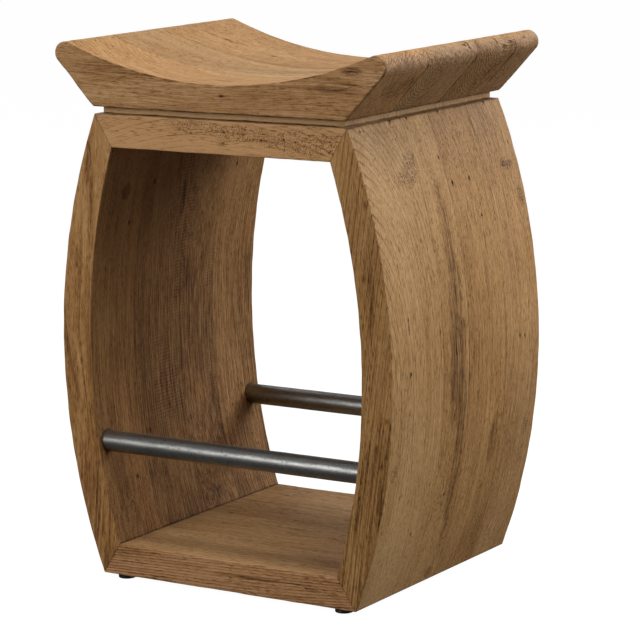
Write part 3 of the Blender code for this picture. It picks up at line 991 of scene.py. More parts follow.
# Nail and worm holes on a board's face: two places on it, and a radius. On a panel the places are (y, z).
HOLES = {
    ("right_stave_1", "outer"): (
        (-0.1555, 0.57, 0.0009), (-0.1485, 0.57, 0.0009), (-0.137, 0.352, 0.0009), (-0.136, 0.288, 0.001),
        (-0.095, 0.084, 0.001), (-0.086, 0.5752, 0.0014),
    ),
    ("right_stave_2", "outer"): ((-0.004, 0.524, 0.0011), (-0.048, 0.575, 0.0012), (-0.03, 0.12, 0.0009),),
    ("right_stave_3", "outer"): (
        (0.012, 0.492, 0.0013), (0.0535, 0.493, 0.0012), (0.064, 0.4465, 0.0012), (0.026, 0.5752, 0.0013),
    ),
    ("right_stave_4", "outer"): (
        (0.1294, 0.2896, 0.001), (0.1423, 0.2874, 0.0009), (0.139, 0.575, 0.0012),
    ),
    ("left_stave_1", "inner"): (
        (-0.112, 0.434, 0.0012), (-0.143, 0.392, 0.001), (-0.152, 0.3815, 0.001), (-0.114, 0.115, 0.0014),
    ),
    ("left_stave_2", "inner"): ((-0.07, 0.4805, 0.0013), (-0.072, 0.165, 0.0012),),
    ("left_stave_3", "inner"): ((0.0716, 0.4284, 0.0012),),
    ("left_stave_4", "inner"): ((0.1137, 0.4816, 0.0012), (0.1143, 0.163, 0.0011),),
    ("left_stave_1", "outer"): ((-0.14, 0.42, 0.0011),),
    ("left_stave_2", "outer"): ((-0.05, 0.19, 0.0012),),
    ("left_stave_3", "outer"): ((0.05, 0.5, 0.001),),
    ("left_stave_4", "outer"): ((0.13, 0.28, 0.0012),),
    ("right_stave_2", "inner"): ((-0.02, 0.35, 0.0011),),
    ("right_stave_4", "inner"): ((0.12, 0.44, 0.001),),
    ("seat_plank_1", "front"): ((0.008, 0.606, 0.001),),
    ("seat_plank_2", "dish"): ((-0.095, -0.01, 0.0009),),
    ("seat_plank_3", "dish"): ((0.06, 0.085, 0.001),),
    ("top_plank_1", "front"): ((0.0077, 0.5504, 0.0009),),
    ("bottom_plank_2", "floor"): ((0.062, -0.03, 0.0011),),
}

# Splits and checks on a board's face: path, width, depth
SPLITS = {
    ("seat_plank_3", "dish"): (
        (((-0.199, 0.084), (-0.186, 0.0875), (-0.174, 0.088)), 0.0014, 0.006),
        (((-0.172, 0.092), (-0.16, 0.089), (-0.149, 0.086)), 0.0015, 0.006),
        (((-0.152, 0.097), (-0.138, 0.0975)), 0.0013, 0.005),
        (((-0.092, 0.079), (-0.084, 0.084)), 0.0013, 0.005),
    ),
    ("seat_plank_2", "dish"): ((((-0.2105, 0.018), (-0.203, 0.0175), (-0.195, 0.018)), 0.0016, 0.005),),
    ("seat_plank_1", "dish"): ((((-0.028, -0.142), (-0.016, -0.139), (-0.004, -0.141)), 0.0012, 0.004),),
    ("seat_plank_1", "front"): (
        (((0.15, 0.618), (0.172, 0.62), (0.196, 0.626)), 0.0008, 0.006),
        (((0.181, 0.64), (0.19, 0.642), (0.198, 0.639)), 0.0013, 0.006),
    ),
    ("seat_plank_2", "right_horn"): (
        (((0.01, 78), (0.015, 60), (0.012, 42), (0.014, 20)), 0.0022, 0.009),
        (((0.001, 58), (0.005, 50), (0.009, 44)), 0.0018, 0.005),
    ),
    ("seat_plank_3", "right_horn"): (
        (((0.04, 72), (0.034, 48), (0.036, 20)), 0.0016, 0.007),
        (((0.078, 62), (0.082, 40), (0.08, 20)), 0.0016, 0.006), (((0.091, 13), (0.101, 1)), 0.002, 0.006),
        (((0.11, 29), (0.119, 17)), 0.002, 0.006), (((0.112, 8), (0.121, -4)), 0.0018, 0.006),
    ),
    ("seat_plank_4", "right_horn"): ((((0.148, 44), (0.153, 30)), 0.0014, 0.004),),
    ("seat_plank_3", "right_end"): (
        (((0.11, 0.046), (0.101, 0.04), (0.098, 0.032), (0.101, 0.022)), 0.0026, 0.01),
    ),
    ("seat_plank_1", "right_end"): (
        (((-0.09, 0.047), (-0.112, 0.034), (-0.134, 0.021)), 0.0013, 0.004),
        (((-0.094, 0.041), (-0.11, 0.031), (-0.128, 0.021)), 0.001, 0.004),
        (((-0.1, 0.046), (-0.122, 0.032), (-0.138, 0.022)), 0.0009, 0.004),
    ),
    ("seat_plank_2", "left_horn"): ((((-0.06, 60), (-0.056, 30), (-0.058, 0)), 0.0013, 0.006),),
    ("seat_plank_1", "left_end"): ((((-0.14, 0.024), (-0.124, 0.03)), 0.001, 0.006),),
    ("seat_plank_3", "left_end"): ((((0.05, 0.018), (0.056, 0.036), (0.064, 0.046)), 0.0011, 0.008),),
    ("right_stave_1", "front"): ((((0.204, 0.42), (0.2075, 0.385), (0.2095, 0.35)), 0.0006, 0.006),),
    ("right_stave_3", "outer"): ((((0.062, 0.44), (0.0615, 0.405)), 0.0006, 0.005),),
    ("left_stave_1", "front"): (
        (((-0.188, 0.54), (-0.185, 0.519), (-0.192, 0.495), (-0.192, 0.43)), 0.001, 0.004),
        (((-0.19, 0.122), (-0.191, 0.1), (-0.188, 0.069), (-0.185, 0.04)), 0.001, 0.004),
    ),
    ("left_stave_2", "inner"): ((((-0.02, 0.528), (-0.019, 0.5), (-0.021, 0.482)), 0.0011, 0.006),),
    ("bottom_plank_1", "front"): ((((0.02, 0.028), (0.07, 0.0285), (0.118, 0.027)), 0.0008, 0.006),),
}

# Stains on a board, and patches of painted shade: middle (x, y, z), half sizes, strength, softness
STAINS_AND_SHADE = {
    "right_stave_2": (
        ((0.222, -0.024, 0.4), (0.04, 0.011, 0.09), 0.34, 0.5),
        ((0.232, -0.024, 0.3), (0.04, 0.016, 0.075), 0.32, 0.5),
        ((0.228, -0.012, 0.18), (0.04, 0.008, 0.1), 0.28, 0.5),
        ((0.189, -0.018, 0.0174), (0.04, 0.006, 0.005), 0.24, 0.8),
    ),
    "right_stave_3": (((0.227, 0.076, 0.168), (0.03, 0.008, 0.026), 0.24, 0.6),),
    "right_stave_4": (
        ((0.205, 0.15, 0.4994), (0.04, 0.01, 0.0028), 0.24, 1.1),
        ((0.2, 0.14, 0.52), (0.08, 0.06, 0.12), 0.07, 1.0),
    ),
    "right_stave_1": (
        # Painted shade: the lower part of the right panel's front edge darker, as the light falls there
        ((0.2, -0.181, 0.07), (0.08, 0.004, 0.13), 0.2, 0.6),
        ((0.234, -0.137, 0.343), (0.03, 0.0008, 0.007), 0.4, 0.6),
    ),
    # On each left panel board the first patch is broad and soft, making the lower part of the panel darker
    "left_stave_1": (
        ((-0.19, -0.135, 0.12), (0.05, 0.06, 0.19), 0.13, 1.2),
        ((-0.175, -0.128, 0.474), (0.04, 0.007, 0.007), 0.34, 0.8),
    ),
    "left_stave_2": (
        ((-0.19, -0.04, 0.12), (0.05, 0.07, 0.2), 0.16, 1.2),
        ((-0.18, -0.06, 0.113), (0.04, 0.008, 0.008), 0.34, 0.8),
        ((-0.18, 0.002, 0.452), (0.04, 0.004, 0.02), 0.38, 0.7),
    ),
    "left_stave_3": (
        ((-0.19, 0.048, 0.12), (0.05, 0.05, 0.2), 0.18, 1.2),
        ((-0.17, 0.05, 0.062), (0.04, 0.012, 0.007), 0.32, 0.8),
    ),
    "left_stave_4": (((-0.19, 0.13, 0.12), (0.05, 0.07, 0.2), 0.16, 1.2),),
    "top_plank_1": (
        ((0.072, -0.18, 0.556), (0.026, 0.02, 0.002), 0.2, 1.2),
        ((0.17, -0.18, 0.556), (0.06, 0.02, 0.04), 0.1, 1.2),
        ((0.0077, -0.18, 0.5504), (0.006, 0.02, 0.003), 0.3, 0.9),
    ),
    "seat_plank_3": (
        ((0.06, 0.105, 0.625), (0.06, 0.012, 0.03), 0.12, 0.8),
        ((0.205, 0.098, 0.612), (0.03, 0.018, 0.016), 0.16, 0.9),
    ),
    "seat_plank_1": (
        ((-0.12, -0.183, 0.628), (0.08, 0.004, 0.008), 0.16, 0.9),
        ((0.189, -0.183, 0.642), (0.01, 0.004, 0.003), 0.26, 0.9),
    ),
    # Painted shadow: a dark line under the seat's overhang, and painted shade in the joint with the carcass
    # top
    "reveal_board": (
        ((0.0, 0.0, 0.585), (3.0, 3.0, 0.0013), 0.8, 0.8),
        ((0.0, 0.0, 0.5763), (3.0, 3.0, 0.001), 0.6, 0.8),
    ),
}


# Patches of curled, speckled grain: middle, half sizes, strength, softness
BAND_BURL = (
    ((-0.034, -0.180, 0.568), (0.026, 0.012, 0.006), 1.0, 0.8),
    ((0.028, -0.180, 0.563), (0.036, 0.012, 0.008), 1.0, 0.6),
    ((0.122, -0.180, 0.556), (0.050, 0.012, 0.010), 1.0, 0.8),
)
HORN_BURL = (((0.228, -0.150, 0.650), (0.016, 0.026, 0.014), 0.7, 0.9),)
STAVE_BURL = (
    ((0.200, -0.066, 0.522), (0.040, 0.013, 0.011), 1.0, 0.9),
    ((0.205, -0.088, 0.508), (0.040, 0.016, 0.007), 0.8, 0.9),
    ((0.226, -0.165, 0.1734), (0.040, 0.005, 0.008), 0.8, 0.6),
)
REAR_BURL = (
    ((0.205, 0.150, 0.4994), (0.040, 0.012, 0.006), 1.0, 0.6),
    ((0.215, 0.1685, 0.459), (0.040, 0.006, 0.010), 1.0, 0.6),
    ((0.226, 0.1564, 0.1695), (0.040, 0.006, 0.008), 1.0, 0.6),
)


# Knots: middle, reach, and how far they push the rings
REAR_KNOTS = (
    ((0.205, 0.150, 0.4994), 0.012, 0.006),
    ((0.215, 0.1685, 0.459), 0.008, 0.006),
    ((0.226, 0.1564, 0.1695), 0.010, 0.006),
)
BAND_KNOTS = (((0.0077, -0.178, 0.5504), 0.010, 0.005),)

# Each board's wood: pith across the grain, its tilt, ring spacing and knots, then its looks
# A board's front tint is painted light and shade on its faces turned to the front
WOODS = {
    "right_stave_1": (
        Wood(11, "Z", (0.2567, -0.200), (0.15, 0.0), 0.0066, wander=0.22),
        dict(
            tone=0.32, ring=0.27, patch=0.8, sharp=7.0, wobble=0.08, streak=0.34, burl=STAVE_BURL,
            burl_depth=0.80, tint=(1.0, 1.0, 0.94), front=(0.95, 0.86, 0.68),
        ),
    ),
    "right_stave_2": (
        Wood(12, "Z", (0.400, -0.450), (0.03, 0.02), 0.0036),
        dict(tone=0.36, tint=(1.0, 1.0, 0.92)),
    ),
    "right_stave_3": (
        Wood(13, "Z", (0.340, -0.260), (0.01, -0.03), 0.0034),
        dict(tone=0.43, ring=0.14, tint=(1.0, 0.98, 0.90)),
    ),
    "right_stave_4": (
        Wood(14, "Z", (0.400, -0.350), (0.02, 0.04), 0.0044, REAR_KNOTS),
        dict(tone=0.38, ring=0.18, grey=0.3, burl=REAR_BURL, tint=(1.0, 0.99, 0.96)),
    ),
    "left_stave_1": (
        Wood(21, "Z", (-0.300, -0.550), (0.02, 0.01), 0.0040),
        dict(tone=0.33, dash=0.24, ripple=0.3, tint=(1.05, 1.0, 0.92), front=(1.14, 1.06, 0.92)),
    ),
    "left_stave_2": (
        Wood(22, "Z", (-0.270, -0.500), (0.03, -0.02), 0.0036),
        dict(tone=0.41, dash=0.16, streak=0.36, ripple=1.0),
    ),
    "left_stave_3": (
        Wood(23, "Z", (-0.112, 0.030), (0.0, 0.02), 0.0050, wander=0.4),
        dict(tone=0.42, dash=0.14, ring=0.10, streak=0.34, ripple=1.0),
    ),
    "left_stave_4": (
        Wood(24, "Z", (-0.300, 0.550), (0.03, 0.02), 0.0042),
        dict(tone=0.41, dash=0.24, ripple=0.3),
    ),
    "top_plank_1": (
        Wood(31, "X", (0.450, -0.190), (0.0, 0.05), 0.0062, BAND_KNOTS, 0.6, (-1.1, -0.005)),
        dict(
            tone=0.14, ring=0.24, sharp=7.0, patch=0.5, streak=0.55, wobble=0.3, burl=BAND_BURL,
            burl_depth=0.70, front=(1.12, 1.0, 0.90),
        ),
    ),
    "top_plank_2": (Wood(32, "X", (0.300, -0.350), (0.03, 0.02), 0.0044), dict(tone=0.38)),
    "top_plank_3": (Wood(33, "X", (0.900, -0.200), (0.03, 0.02), 0.0042), dict(tone=0.36)),
    "top_plank_4": (Wood(34, "X", (0.250, 0.400), (-0.03, 0.02), 0.0046), dict(tone=0.37)),
    "bottom_plank_1": (
        Wood(41, "X", (-0.300, -0.450), (0.03, 0.02), 0.0027, wander=0.4),
        dict(tone=0.37, ring=0.42, sharp=3.0, patch=0.7, front=(1.10, 0.98, 0.97)),
    ),
    "bottom_plank_2": (Wood(42, "X", (-0.150, -0.450), (0.02, 0.02), 0.0036), dict(tone=0.36, ring=0.2)),
    "bottom_plank_3": (Wood(43, "X", (0.200, -0.350), (0.03, 0.02), 0.0040), dict(tone=0.33, ring=0.2)),
    "bottom_plank_4": (Wood(44, "X", (-0.150, 0.550), (0.03, -0.02), 0.0038), dict(tone=0.31, ring=0.2)),
    "seat_plank_1": (
        Wood(51, "X", (0.440, -0.030), (0.02, 0.03), 0.0034, wander=0.5),
        dict(
            tone=0.28, ring=0.15, streak=0.62, dash=0.26, rim=0.05, line=0.80, burl=HORN_BURL,
            tint=(1.04, 1.0, 0.96), front=(1.04, 0.98, 0.95),
        ),
    ),
    "seat_plank_2": (
        Wood(52, "X", (0.650, -0.043), (0.004, 0.004), 0.0034, wander=0.25),
        dict(tone=0.33, ring=0.12, grey=0.4, rim=0.05, line=0.80, tint=(0.98, 1.0, 1.05)),
    ),
    "seat_plank_3": (
        Wood(53, "X", (0.700, 0.110), (0.03, 0.02), 0.0032, wander=0.5),
        dict(tone=0.34, ring=0.05, rim=0.05, line=0.80, tint=(1.0, 0.99, 1.03)),
    ),
    "seat_plank_4": (
        Wood(54, "X", (0.640, 0.150), (0.02, -0.02), 0.0030, wander=0.4),
        dict(tone=0.34, ring=0.05, rim=0.05, line=0.80, tint=(1.0, 0.99, 1.03)),
    ),
    # The reveal board's very light tone is painted light: it brightens the strip that the seat's overhang
    # shades
    "reveal_board": (Wood(61, "X", (0.400, -0.300), (0.02, 0.02), 0.0040), dict(tone=0.04)),
}

CARCASS_ARRIS = {"under": 0.0015, "over": 0.0020}
BOTTOM_ARRIS = {"under": 0.0026, "over": 0.0020}
SEAT_ARRIS = {"under": 0.0011, "over": 0.0015, "start": 0.0024, "end": 0.0026}
MITRE_ARRIS = 0.0004


def board_kind(name):
    for kind in ("left_stave", "right_stave", "top_plank", "bottom_plank", "seat_plank", "reveal_board"):
        if name.startswith(kind):
            return kind


def open_faces_of(kind, index, count):
    faces = ["under", "over"]
    if index == 1:
        faces.append("front")
    if index == count:
        faces.append("back")
    if kind in ("seat_plank", "reveal_board"):
        faces.append("end")
    return faces


def arrises_of(kind, faces):
    """The edges to ease, each a pair of faces and a radius."""
    sizes = {"seat_plank": SEAT_ARRIS, "bottom_plank": BOTTOM_ARRIS}.get(kind, CARCASS_ARRIS)
    if kind == "reveal_board":
        sizes = dict.fromkeys(("under", "over", "start", "end"), 0.0006)
    pairs = []
    for depth_face in ("front", "back"):
        if depth_face in faces:
            pairs += [((depth_face, face), size) for face, size in sizes.items()]
    if kind == "seat_plank":
        pairs += [(("under", "start"), 0.0012), (("under", "end"), 0.0012)]
    elif kind != "reveal_board":
        pairs += [((end, face), MITRE_ARRIS) for end in ("start", "end") for face in ("under", "over")]
        for depth_face in ("front", "back"):
            if depth_face in faces:
                pairs += [((depth_face, end), MITRE_ARRIS) for end in ("start", "end")]
    return pairs


def edge_distances(kind, points):
    """How far each point is from every open face of its assembly, nearest first."""
    x, y, z = np.abs(points[:, X]), points[:, Y], points[:, Z]
    front, rear = depths(kind)
    gaps = [y - front, rear - y]
    if kind.endswith("stave"):
        gaps += [outer_bow(z) - x, x - inner_bow(z)]
    elif kind == "top_plank":
        gaps += [CARCASS_TOP - z, z - TOP_BOARD_UNDERSIDE]
    elif kind == "bottom_plank":
        gaps += [BOTTOM_BOARD_TOP - z, z - CARCASS_BOTTOM]
    else:
        lean = np.array([cos(HORN_FIRST), sin(HORN_FIRST)])
        undercut = (UNDERSIDE_HALF - x) * lean[0] + (SEAT_UNDERSIDE - z) * lean[1]
        dish = np.hypot(x, DISH_Z - z) - DISH_RADIUS
        gaps += [z - SEAT_UNDERSIDE, undercut, dish]
    return np.sort(np.maximum(np.stack(gaps), 0), axis=0)


def mitre_distance(kind, points):
    """How far each point is from the nearer mitre; far away for the seat."""
    if kind in ("seat_plank", "reveal_board"):
        return np.full(len(points), 1.0)
    flat = np.stack([np.abs(points[:, X]), points[:, Z]], axis=1)
    nearest = np.full(len(points), 1.0)
    for z_out, z_in in ((CARCASS_BOTTOM, BOTTOM_BOARD_TOP), (CARCASS_TOP, TOP_BOARD_UNDERSIDE)):
        tip = np.array([outer_bow(z_out), z_out])
        run = np.array([inner_bow(z_in), z_in]) - tip
        run /= np.linalg.norm(run)
        away = np.abs((flat - tip) @ np.array([-run[1], run[0]]))
        nearest = np.minimum(nearest, away)
    return nearest


def store(mesh, name, values):
    attribute = mesh.attributes.new(name, "FLOAT", "POINT")
    attribute.data.foreach_set("value", values.astype(np.float32))


def add_piece(name, mesh, material, nodes):
    piece = in_scene(name, mesh)
    if material:
        mesh.materials.append(material)
    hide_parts(*nodes)
    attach(piece, "root")
    return piece


HOLE_DEPTH = 0.006


def marks_on(board, table):
    """The marks on one board, each led by its face."""
    return [(face, *mark) for (owner, face), marks in table.items() if owner == board for mark in marks]


def board_spots(name):
    """The dark halos of a board's holes, its stains and its patches of painted shade, for the material."""
    spots = []
    along = AXIS[WOODS[name][0].axis]
    for face, a, b, radius in marks_on(name, HOLES):
        place, _ = surface(name, face, a, b)
        half = np.full(3, radius * 1.15)
        half[along] *= 1.7
        spots.append((place, half, 0.42, 1.3))
    for face, path, _, _ in marks_on(name, SPLITS):
        ends = np.array([surface(name, face, a, b)[0] for a, b in path])
        half = (ends.max(0) - ends.min(0)) / 2 + 0.0006
        spots.append((tuple((ends.max(0) + ends.min(0)) / 2), half, 0.20, 1.0))
    return [*spots, *STAINS_AND_SHADE.get(name, ())]


def surface_cutters(name, rng):
    cutters = []
    for face, a, b, radius in marks_on(name, HOLES):
        place, normal = surface(name, face, a, b)
        cutters.append(hole_cutter(place, normal, radius, HOLE_DEPTH, rng))
    for face, path, width, depth in marks_on(name, SPLITS):
        places, normals = zip(*(surface(name, face, a, b) for a, b in path))
        cutters.append(split_cutter(places, normals, width, depth, rng))
    return cutters


def add_board(name, outlines, joinery):
    kind = board_kind(name)
    wood, looks = WOODS[name]
    if kind == "reveal_board":
        index = count = 1
        y_front, y_back = span(name, Y)
    else:
        index, count = int(name[-1]), 4
        y_front, y_back = joint_depths(kind, index, count)
    faces = open_faces_of(kind, index, count)
    seed = 1000 + sorted(WOODS).index(name) * 17
    points, quads = board_points(outlines[kind], y_front, y_back, arrises_of(kind, faces), faces, wood, seed)
    if kind.endswith("stave"):
        soften_carcass(points, ("top", "bottom"), (-1 if kind == "left_stave" else 1,))
    elif kind.endswith("plank") and kind != "seat_plank":
        soften_carcass(points, (kind.split("_")[0],), (-1, 1))
    spots = board_spots(name)
    material = wood_material(name + "_elm", wood, seed % 97, spots, looks)
    piece = add_piece(name + "_wood", mesh_from(name + "_wood", points, quads), material, [name])
    own_box = (points.min(0), points.max(0))
    cutters = surface_cutters(name, np.random.default_rng(seed))
    cutters += [mesh for mesh, mesh_box in joinery if touching(mesh_box, own_box)]
    if cutters:
        cut_away(piece, cutters)
    mesh = piece.data
    if not mesh.materials:
        mesh.materials.append(material)
    final = at_vertices(mesh, "co")
    store(mesh, "rings", wood.rings(final))
    normals = at_vertices(mesh, "normal")
    store(mesh, "cut", np.clip(np.abs(normals[:, AXIS[wood.axis]]) * 1.4 - 0.2, 0, 1) ** 2)
    # How far each point faces the front; the material paints light and shade there with the board's front
    # tint
    store(mesh, "front", np.clip(-normals[:, Y] * 1.4 - 0.2, 0, 1) ** 2)
    gaps = edge_distances(kind, final)
    ragged = 1 + 0.4 * np.tanh(Swell(seed + 31, (0.02, 0.02, 0.02))(final))
    store(mesh, "edge", np.exp(-gaps[1] / (0.0022 * ragged)))
    joint = np.minimum(final[:, Y] - y_front, y_back - final[:, Y])
    glued = ((index > 1) | (final[:, Y] > 0)) & ((index < count) | (final[:, Y] < 0))
    glue_line = np.where(glued, 0.12 if kind == "seat_plank" else 0.35, 0.0) * np.exp(-joint / 0.0005)
    store(mesh, "seam", np.maximum(np.exp(-mitre_distance(kind, final) / 0.0006), glue_line))
    smoothed(mesh, 42)


def add_boards():
    outlines = {
        "left_stave": stave_outline(-1),
        "right_stave": stave_outline(1),
        "top_plank": plank_outline(TOP_BOARD_UNDERSIDE, CARCASS_TOP),
        "bottom_plank": plank_outline(BOTTOM_BOARD_TOP, CARCASS_BOTTOM),
        "seat_plank": seat_outline(),
        "reveal_board": reveal_outline(),
    }
    joinery = [(mesh, corners_of(mesh)) for mesh in joinery_cutters()]
    for name in WOODS:
        add_board(name, outlines, joinery)
    for mesh, _ in joinery:
        bpy.data.meshes.remove(mesh)


# ---- Rails, screws, glides, tenons ----


RAIL_WALL = 0.0015
RAIL_EASE = 0.0004


def add_rail(node, material, seed):
    """A round tube along X with its bore, and a wall that is very slightly uneven."""
    low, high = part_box(node)
    radius = (high.z - low.z) / 2
    half = (high.x - low.x) / 2
    count = 150
    sides = 96
    places = np.linspace(half, -half, count)
    eased_ends = [(radius - RAIL_EASE, half), (radius, half - RAIL_EASE)]
    outside = eased_ends + [(radius, p) for p in places[1:-1]] + [(r, -h) for r, h in reversed(eased_ends)]
    bore = [(radius - RAIL_WALL, -half), (radius - RAIL_WALL, half)]
    mesh = turned_mesh(node + "_tube", outside + bore, sides, closed=True)
    points = at_vertices(mesh, "co")
    reach = np.hypot(points[:, 0], points[:, 1])
    dents = Swell(seed, (0.02, 0.02, 0.05))(points)
    depth = 0.00008 * (1 + np.tanh(dents))
    outer = reach > radius - RAIL_WALL / 2
    points[outer, :2] *= (1 - depth[outer] / reach[outer])[:, None]
    move_vertices(mesh, points)
    placed(mesh, Matrix.Translation((low + high) / 2) @ Matrix.Rotation(radians(90), 4, "Y"))
    smoothed(mesh, 50)
    add_piece(node + "_tube", mesh, material, [node])


SCREW_HEAD = 0.0047
SCREW_SHANK = 0.0024
SCREW_CORE = 0.0020
SCREW_TAPER = 0.006
SCREW_SIDES = 24
THREAD_PITCH = 0.0026
THREAD_HEIGHT = 0.0019
THREAD_SHARE = 0.28
THREAD_MARGIN = 0.0002
DRIVE_WIDTH = 0.0028
DRIVE_HEIGHT = 0.0040
DRIVE_EASE = 0.0002


def add_seat_screw(node, material):
    """A countersunk screw with a rolled thread and a square drive recess."""
    low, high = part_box(node)
    length = high.z - low.z
    head, shank, core = SCREW_HEAD, SCREW_SHANK, SCREW_CORE
    heights = np.arange(length, SHANK_LENGTH, -THREAD_PITCH / (8))
    profile = [(0.0, length)] + [(core, h) for h in heights[1:]]
    profile += [(shank, SHANK_LENGTH), (shank, 0.0029), (head, 0.0007)]
    profile += [(head, 0.0003), (head - 0.0003, 0.0), (0, 0.0)]
    mesh = turned_mesh(node + "_threaded", profile, SCREW_SIDES)
    points = at_vertices(mesh, "co")
    heights = points[:, Z]
    threaded = (heights > SHANK_LENGTH + THREAD_MARGIN) & (heights < length - THREAD_MARGIN)
    turn = np.arctan2(points[:, Y], points[:, X]) / (2 * pi)
    ridge = np.abs(((heights / THREAD_PITCH - turn) % 1) - 0.5) * 2
    crest = THREAD_HEIGHT * (1 - ridge) ** 3 * THREAD_SHARE
    taper = np.clip((length - heights) / SCREW_TAPER, 0.03, 1)
    reach = (core * 0.86 + crest) * taper
    old = np.hypot(points[:, 0], points[:, 1])
    factor = np.where(threaded & (old > 0), reach / np.maximum(old, 1e-9), 1)
    points[:, :2] *= factor[:, None]
    move_vertices(mesh, points)
    piece = add_piece(node + "_threaded", mesh, material, [node])
    recess = bpy.data.meshes.new("recess")
    bm = bmesh.new()
    bmesh.ops.create_cube(bm, size=1, matrix=Matrix.Diagonal((DRIVE_WIDTH, DRIVE_WIDTH, DRIVE_HEIGHT, 1)))
    bmesh.ops.bevel(bm, geom=bm.edges, offset=DRIVE_EASE, segments=2, affect="EDGES")
    bm.to_mesh(recess)
    bm.free()
    cut_away(piece, [recess])
    middle = (low + high) / 2
    placed(piece.data, Matrix.Translation((middle.x, middle.y, low.z)))
    smoothed(piece.data, 40)


def rounded_profile(points, radius, steps=4):
    """A profile whose inner corners are eased by short arcs."""
    eased_points = [points[0]]
    for before, corner, after in zip(points, points[1:], points[2:]):
        corner, before, after = (np.array(p, float) for p in (corner, before, after))
        one, two = before - corner, after - corner
        reach = min(radius, np.linalg.norm(one) * 0.45, np.linalg.norm(two) * 0.45)
        one, two = one / np.linalg.norm(one), two / np.linalg.norm(two)
        for k in range(steps + 1):
            share = k / steps
            arc = (1 - share) ** 2 * one + share**2 * two
            eased_points.append(tuple(corner + arc * reach))
    return [*eased_points, points[-1]]


RECESS_RADIUS = 0.0038
RECESS_TOP = 0.0043


def add_glide(corner, nylon, zinc):
    pad, screw = f"glide_pad_{corner}", f"glide_screw_{corner}"
    low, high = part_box(pad)
    middle = (low + high) / 2
    radius = (high.x - low.x) / 2
    top = high.z
    outside = [(GLIDE_BORE, top), (radius, top), (radius, 0)]
    outside += [(RECESS_RADIUS, 0), (RECESS_RADIUS, RECESS_TOP), (GLIDE_BORE, RECESS_TOP)]
    eased_outside = rounded_profile(outside, 0.0010)
    mesh = turned_mesh(pad + "_disc", eased_outside, 64, closed=True)
    placed(mesh, Matrix.Translation((middle.x, middle.y, 0)))
    smoothed(mesh, 35)
    add_piece(pad + "_disc", mesh, nylon, [pad])
    low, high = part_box(screw)
    tip, base = high.z, low.z
    profile = [(0, tip), (0.0016, tip - 0.003)]
    turns = np.arange(tip - 0.0035, 0.0062, -0.0006)
    profile += [(0.0017 if k % 2 else 0.00135, h) for k, h in enumerate(turns)]
    profile += [(0.0017, 0.0055), (0.0017, 0.0040), (0.0034, 0.0040), (0.0034, 0.0024), (0.0030, 0.0018)]
    profile += [(0.0020, base), (0.0012, base), (0.0006, base + 0.0010), (0, base + 0.0011)]
    mesh = turned_mesh(screw + "_pan", profile, 32)
    placed(mesh, Matrix.Translation((middle.x, middle.y, 0)))
    smoothed(mesh, 35)
    add_piece(screw + "_pan", mesh, zinc, [screw])


def add_fittings():
    steel, zinc = steel_material(), zinc_material()
    nylon, beech = nylon_material(), beech_material()
    add_rail("front_rail", steel, 71)
    add_rail("rear_rail", steel, 72)
    for node in SCREW_NODES:
        add_seat_screw(node, zinc)
    for corner in CORNERS:
        add_glide(corner, nylon, zinc)
    for node in TENON_NODES:
        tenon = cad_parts[node]
        tenon.data.materials.clear()
        tenon.data.materials.append(beech)


# ---- Camera, floor and light ----

VIEW_TARGET = (0.0347, -0.0153, 0.3151)
VIEW_AZIMUTH = 32.23
VIEW_ELEVATION = 10.47
VIEW_ROLL = -0.785
VIEW_DISTANCE = 3.65
LENS = 167.4


def add_camera():
    camera = in_scene("camera", bpy.data.cameras.new("camera"))
    azimuth, elevation = radians(VIEW_AZIMUTH), radians(VIEW_ELEVATION)
    back = Vector((sin(azimuth) * cos(elevation), -cos(azimuth) * cos(elevation), sin(elevation)))
    turn = (-back).to_track_quat("-Z", "Y").to_matrix().to_4x4()
    place = Matrix.Translation(Vector(VIEW_TARGET) + back * VIEW_DISTANCE)
    camera.matrix_world = place @ turn @ Matrix.Rotation(radians(VIEW_ROLL), 4, "Z")
    camera.data.lens = LENS
    camera.data.sensor_width = 36
    camera.data.clip_end = 60
    bpy.context.scene.camera = camera


def add_floor():
    mesh = bpy.data.meshes.new("studio_floor")
    half = 9.0
    corners = [(-half, -half, 0), (half, -half, 0), (half, half, 0), (-half, half, 0)]
    mesh.from_pydata(corners, [], [(0, 1, 2, 3)])
    s = Shader("studio_floor")
    s.surface.inputs["Base Color"].default_value = (0.10, 0.10, 0.10, 1)
    s.surface.inputs["Roughness"].default_value = 0.9
    s.surface.inputs["Specular IOR Level"].default_value = 0.0
    s.surface.inputs["Emission Color"].default_value = (1, 1, 1, 1)
    s.surface.inputs["Emission Strength"].default_value = 0.97
    mesh.materials.append(s.material)
    floor = in_scene("studio_floor", mesh)
    floor.visible_diffuse = False
    floor.visible_glossy = False


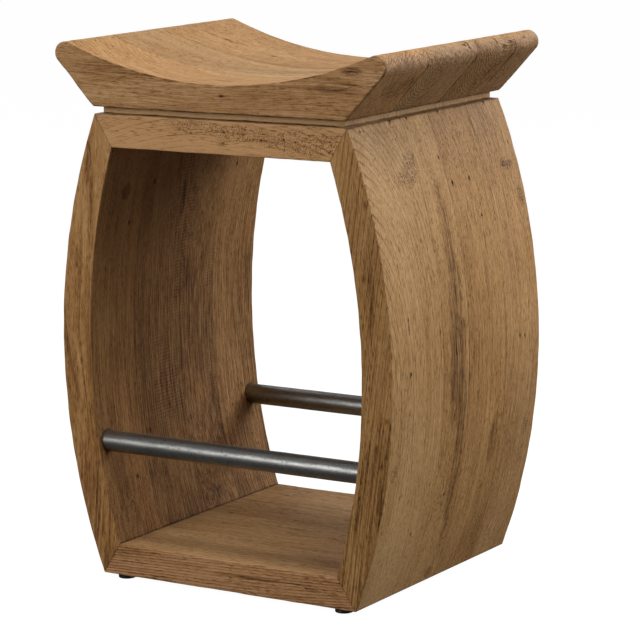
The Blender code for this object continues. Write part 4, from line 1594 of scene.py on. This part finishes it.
def add_area_light(name, place, target, size, power, colour=(1, 1, 1)):
    light = bpy.data.lights.new(name, "AREA")
    light.shape = "DISK"
    light.size = size
    light.energy = power
    light.color = colour
    lamp = in_scene(name, light)
    aim = Vector(target) - Vector(place)
    lamp.matrix_world = Matrix.Translation(place) @ aim.to_track_quat("-Z", "Y").to_matrix().to_4x4()
    lamp.visible_camera = False


WORLD_ABOVE = 0.22
WORLD_BELOW = 0.08


def add_lights():
    world = bpy.data.worlds.new("studio")
    bpy.context.scene.world = world
    world.use_nodes = True
    tree = world.node_tree
    nodes, links = tree.nodes, tree.links
    background = nodes["Background"]
    background.inputs["Color"].default_value = (1, 1, 1, 1)
    # Lights the room softly from above and less from below; the camera sees plain white
    aim = nodes.new("ShaderNodeSeparateXYZ")
    links.new(nodes.new("ShaderNodeTexCoord").outputs["Generated"], aim.inputs["Vector"])
    sky = nodes.new("ShaderNodeMapRange")
    sky.interpolation_type = "SMOOTHSTEP"
    span_of_sky = {"From Min": -0.5, "From Max": 0.7, "To Min": WORLD_BELOW, "To Max": WORLD_ABOVE}
    for key, value in span_of_sky.items():
        sky.inputs[key].default_value = value
    links.new(aim.outputs["Z"], sky.inputs["Value"])
    seen = nodes.new("ShaderNodeMath")
    seen.operation = "MAXIMUM"
    links.new(sky.outputs["Result"], seen.inputs[0])
    links.new(nodes.new("ShaderNodeLightPath").outputs["Is Camera Ray"], seen.inputs[1])
    links.new(seen.outputs[0], background.inputs["Strength"])
    for light in LIGHTS:
        add_area_light(*light)


STOOL_MIDDLE = (0.0, 0.0, 0.35)
LIGHTS = (
    ("overhead", (0.4, -0.3, 2.3), STOOL_MIDDLE, 1.3, 23.0),
    ("right_key", (2.25, 1.0, 1.05), STOOL_MIDDLE, 1.5, 31.0),
    ("front_fill", (-1.0, -2.9, 1.35), STOOL_MIDDLE, 1.5, 36.0),
    ("rear_right", (1.0, 2.4, 1.8), STOOL_MIDDLE, 1.4, 34.0),
    ("rear_left", (-2.2, 1.4, 1.3), STOOL_MIDDLE, 1.6, 12.0),
)


def main():
    bpy.context.scene.view_settings.view_transform = "Standard"
    add_boards()
    add_fittings()
    add_camera()
    add_floor()
    add_lights()


main()
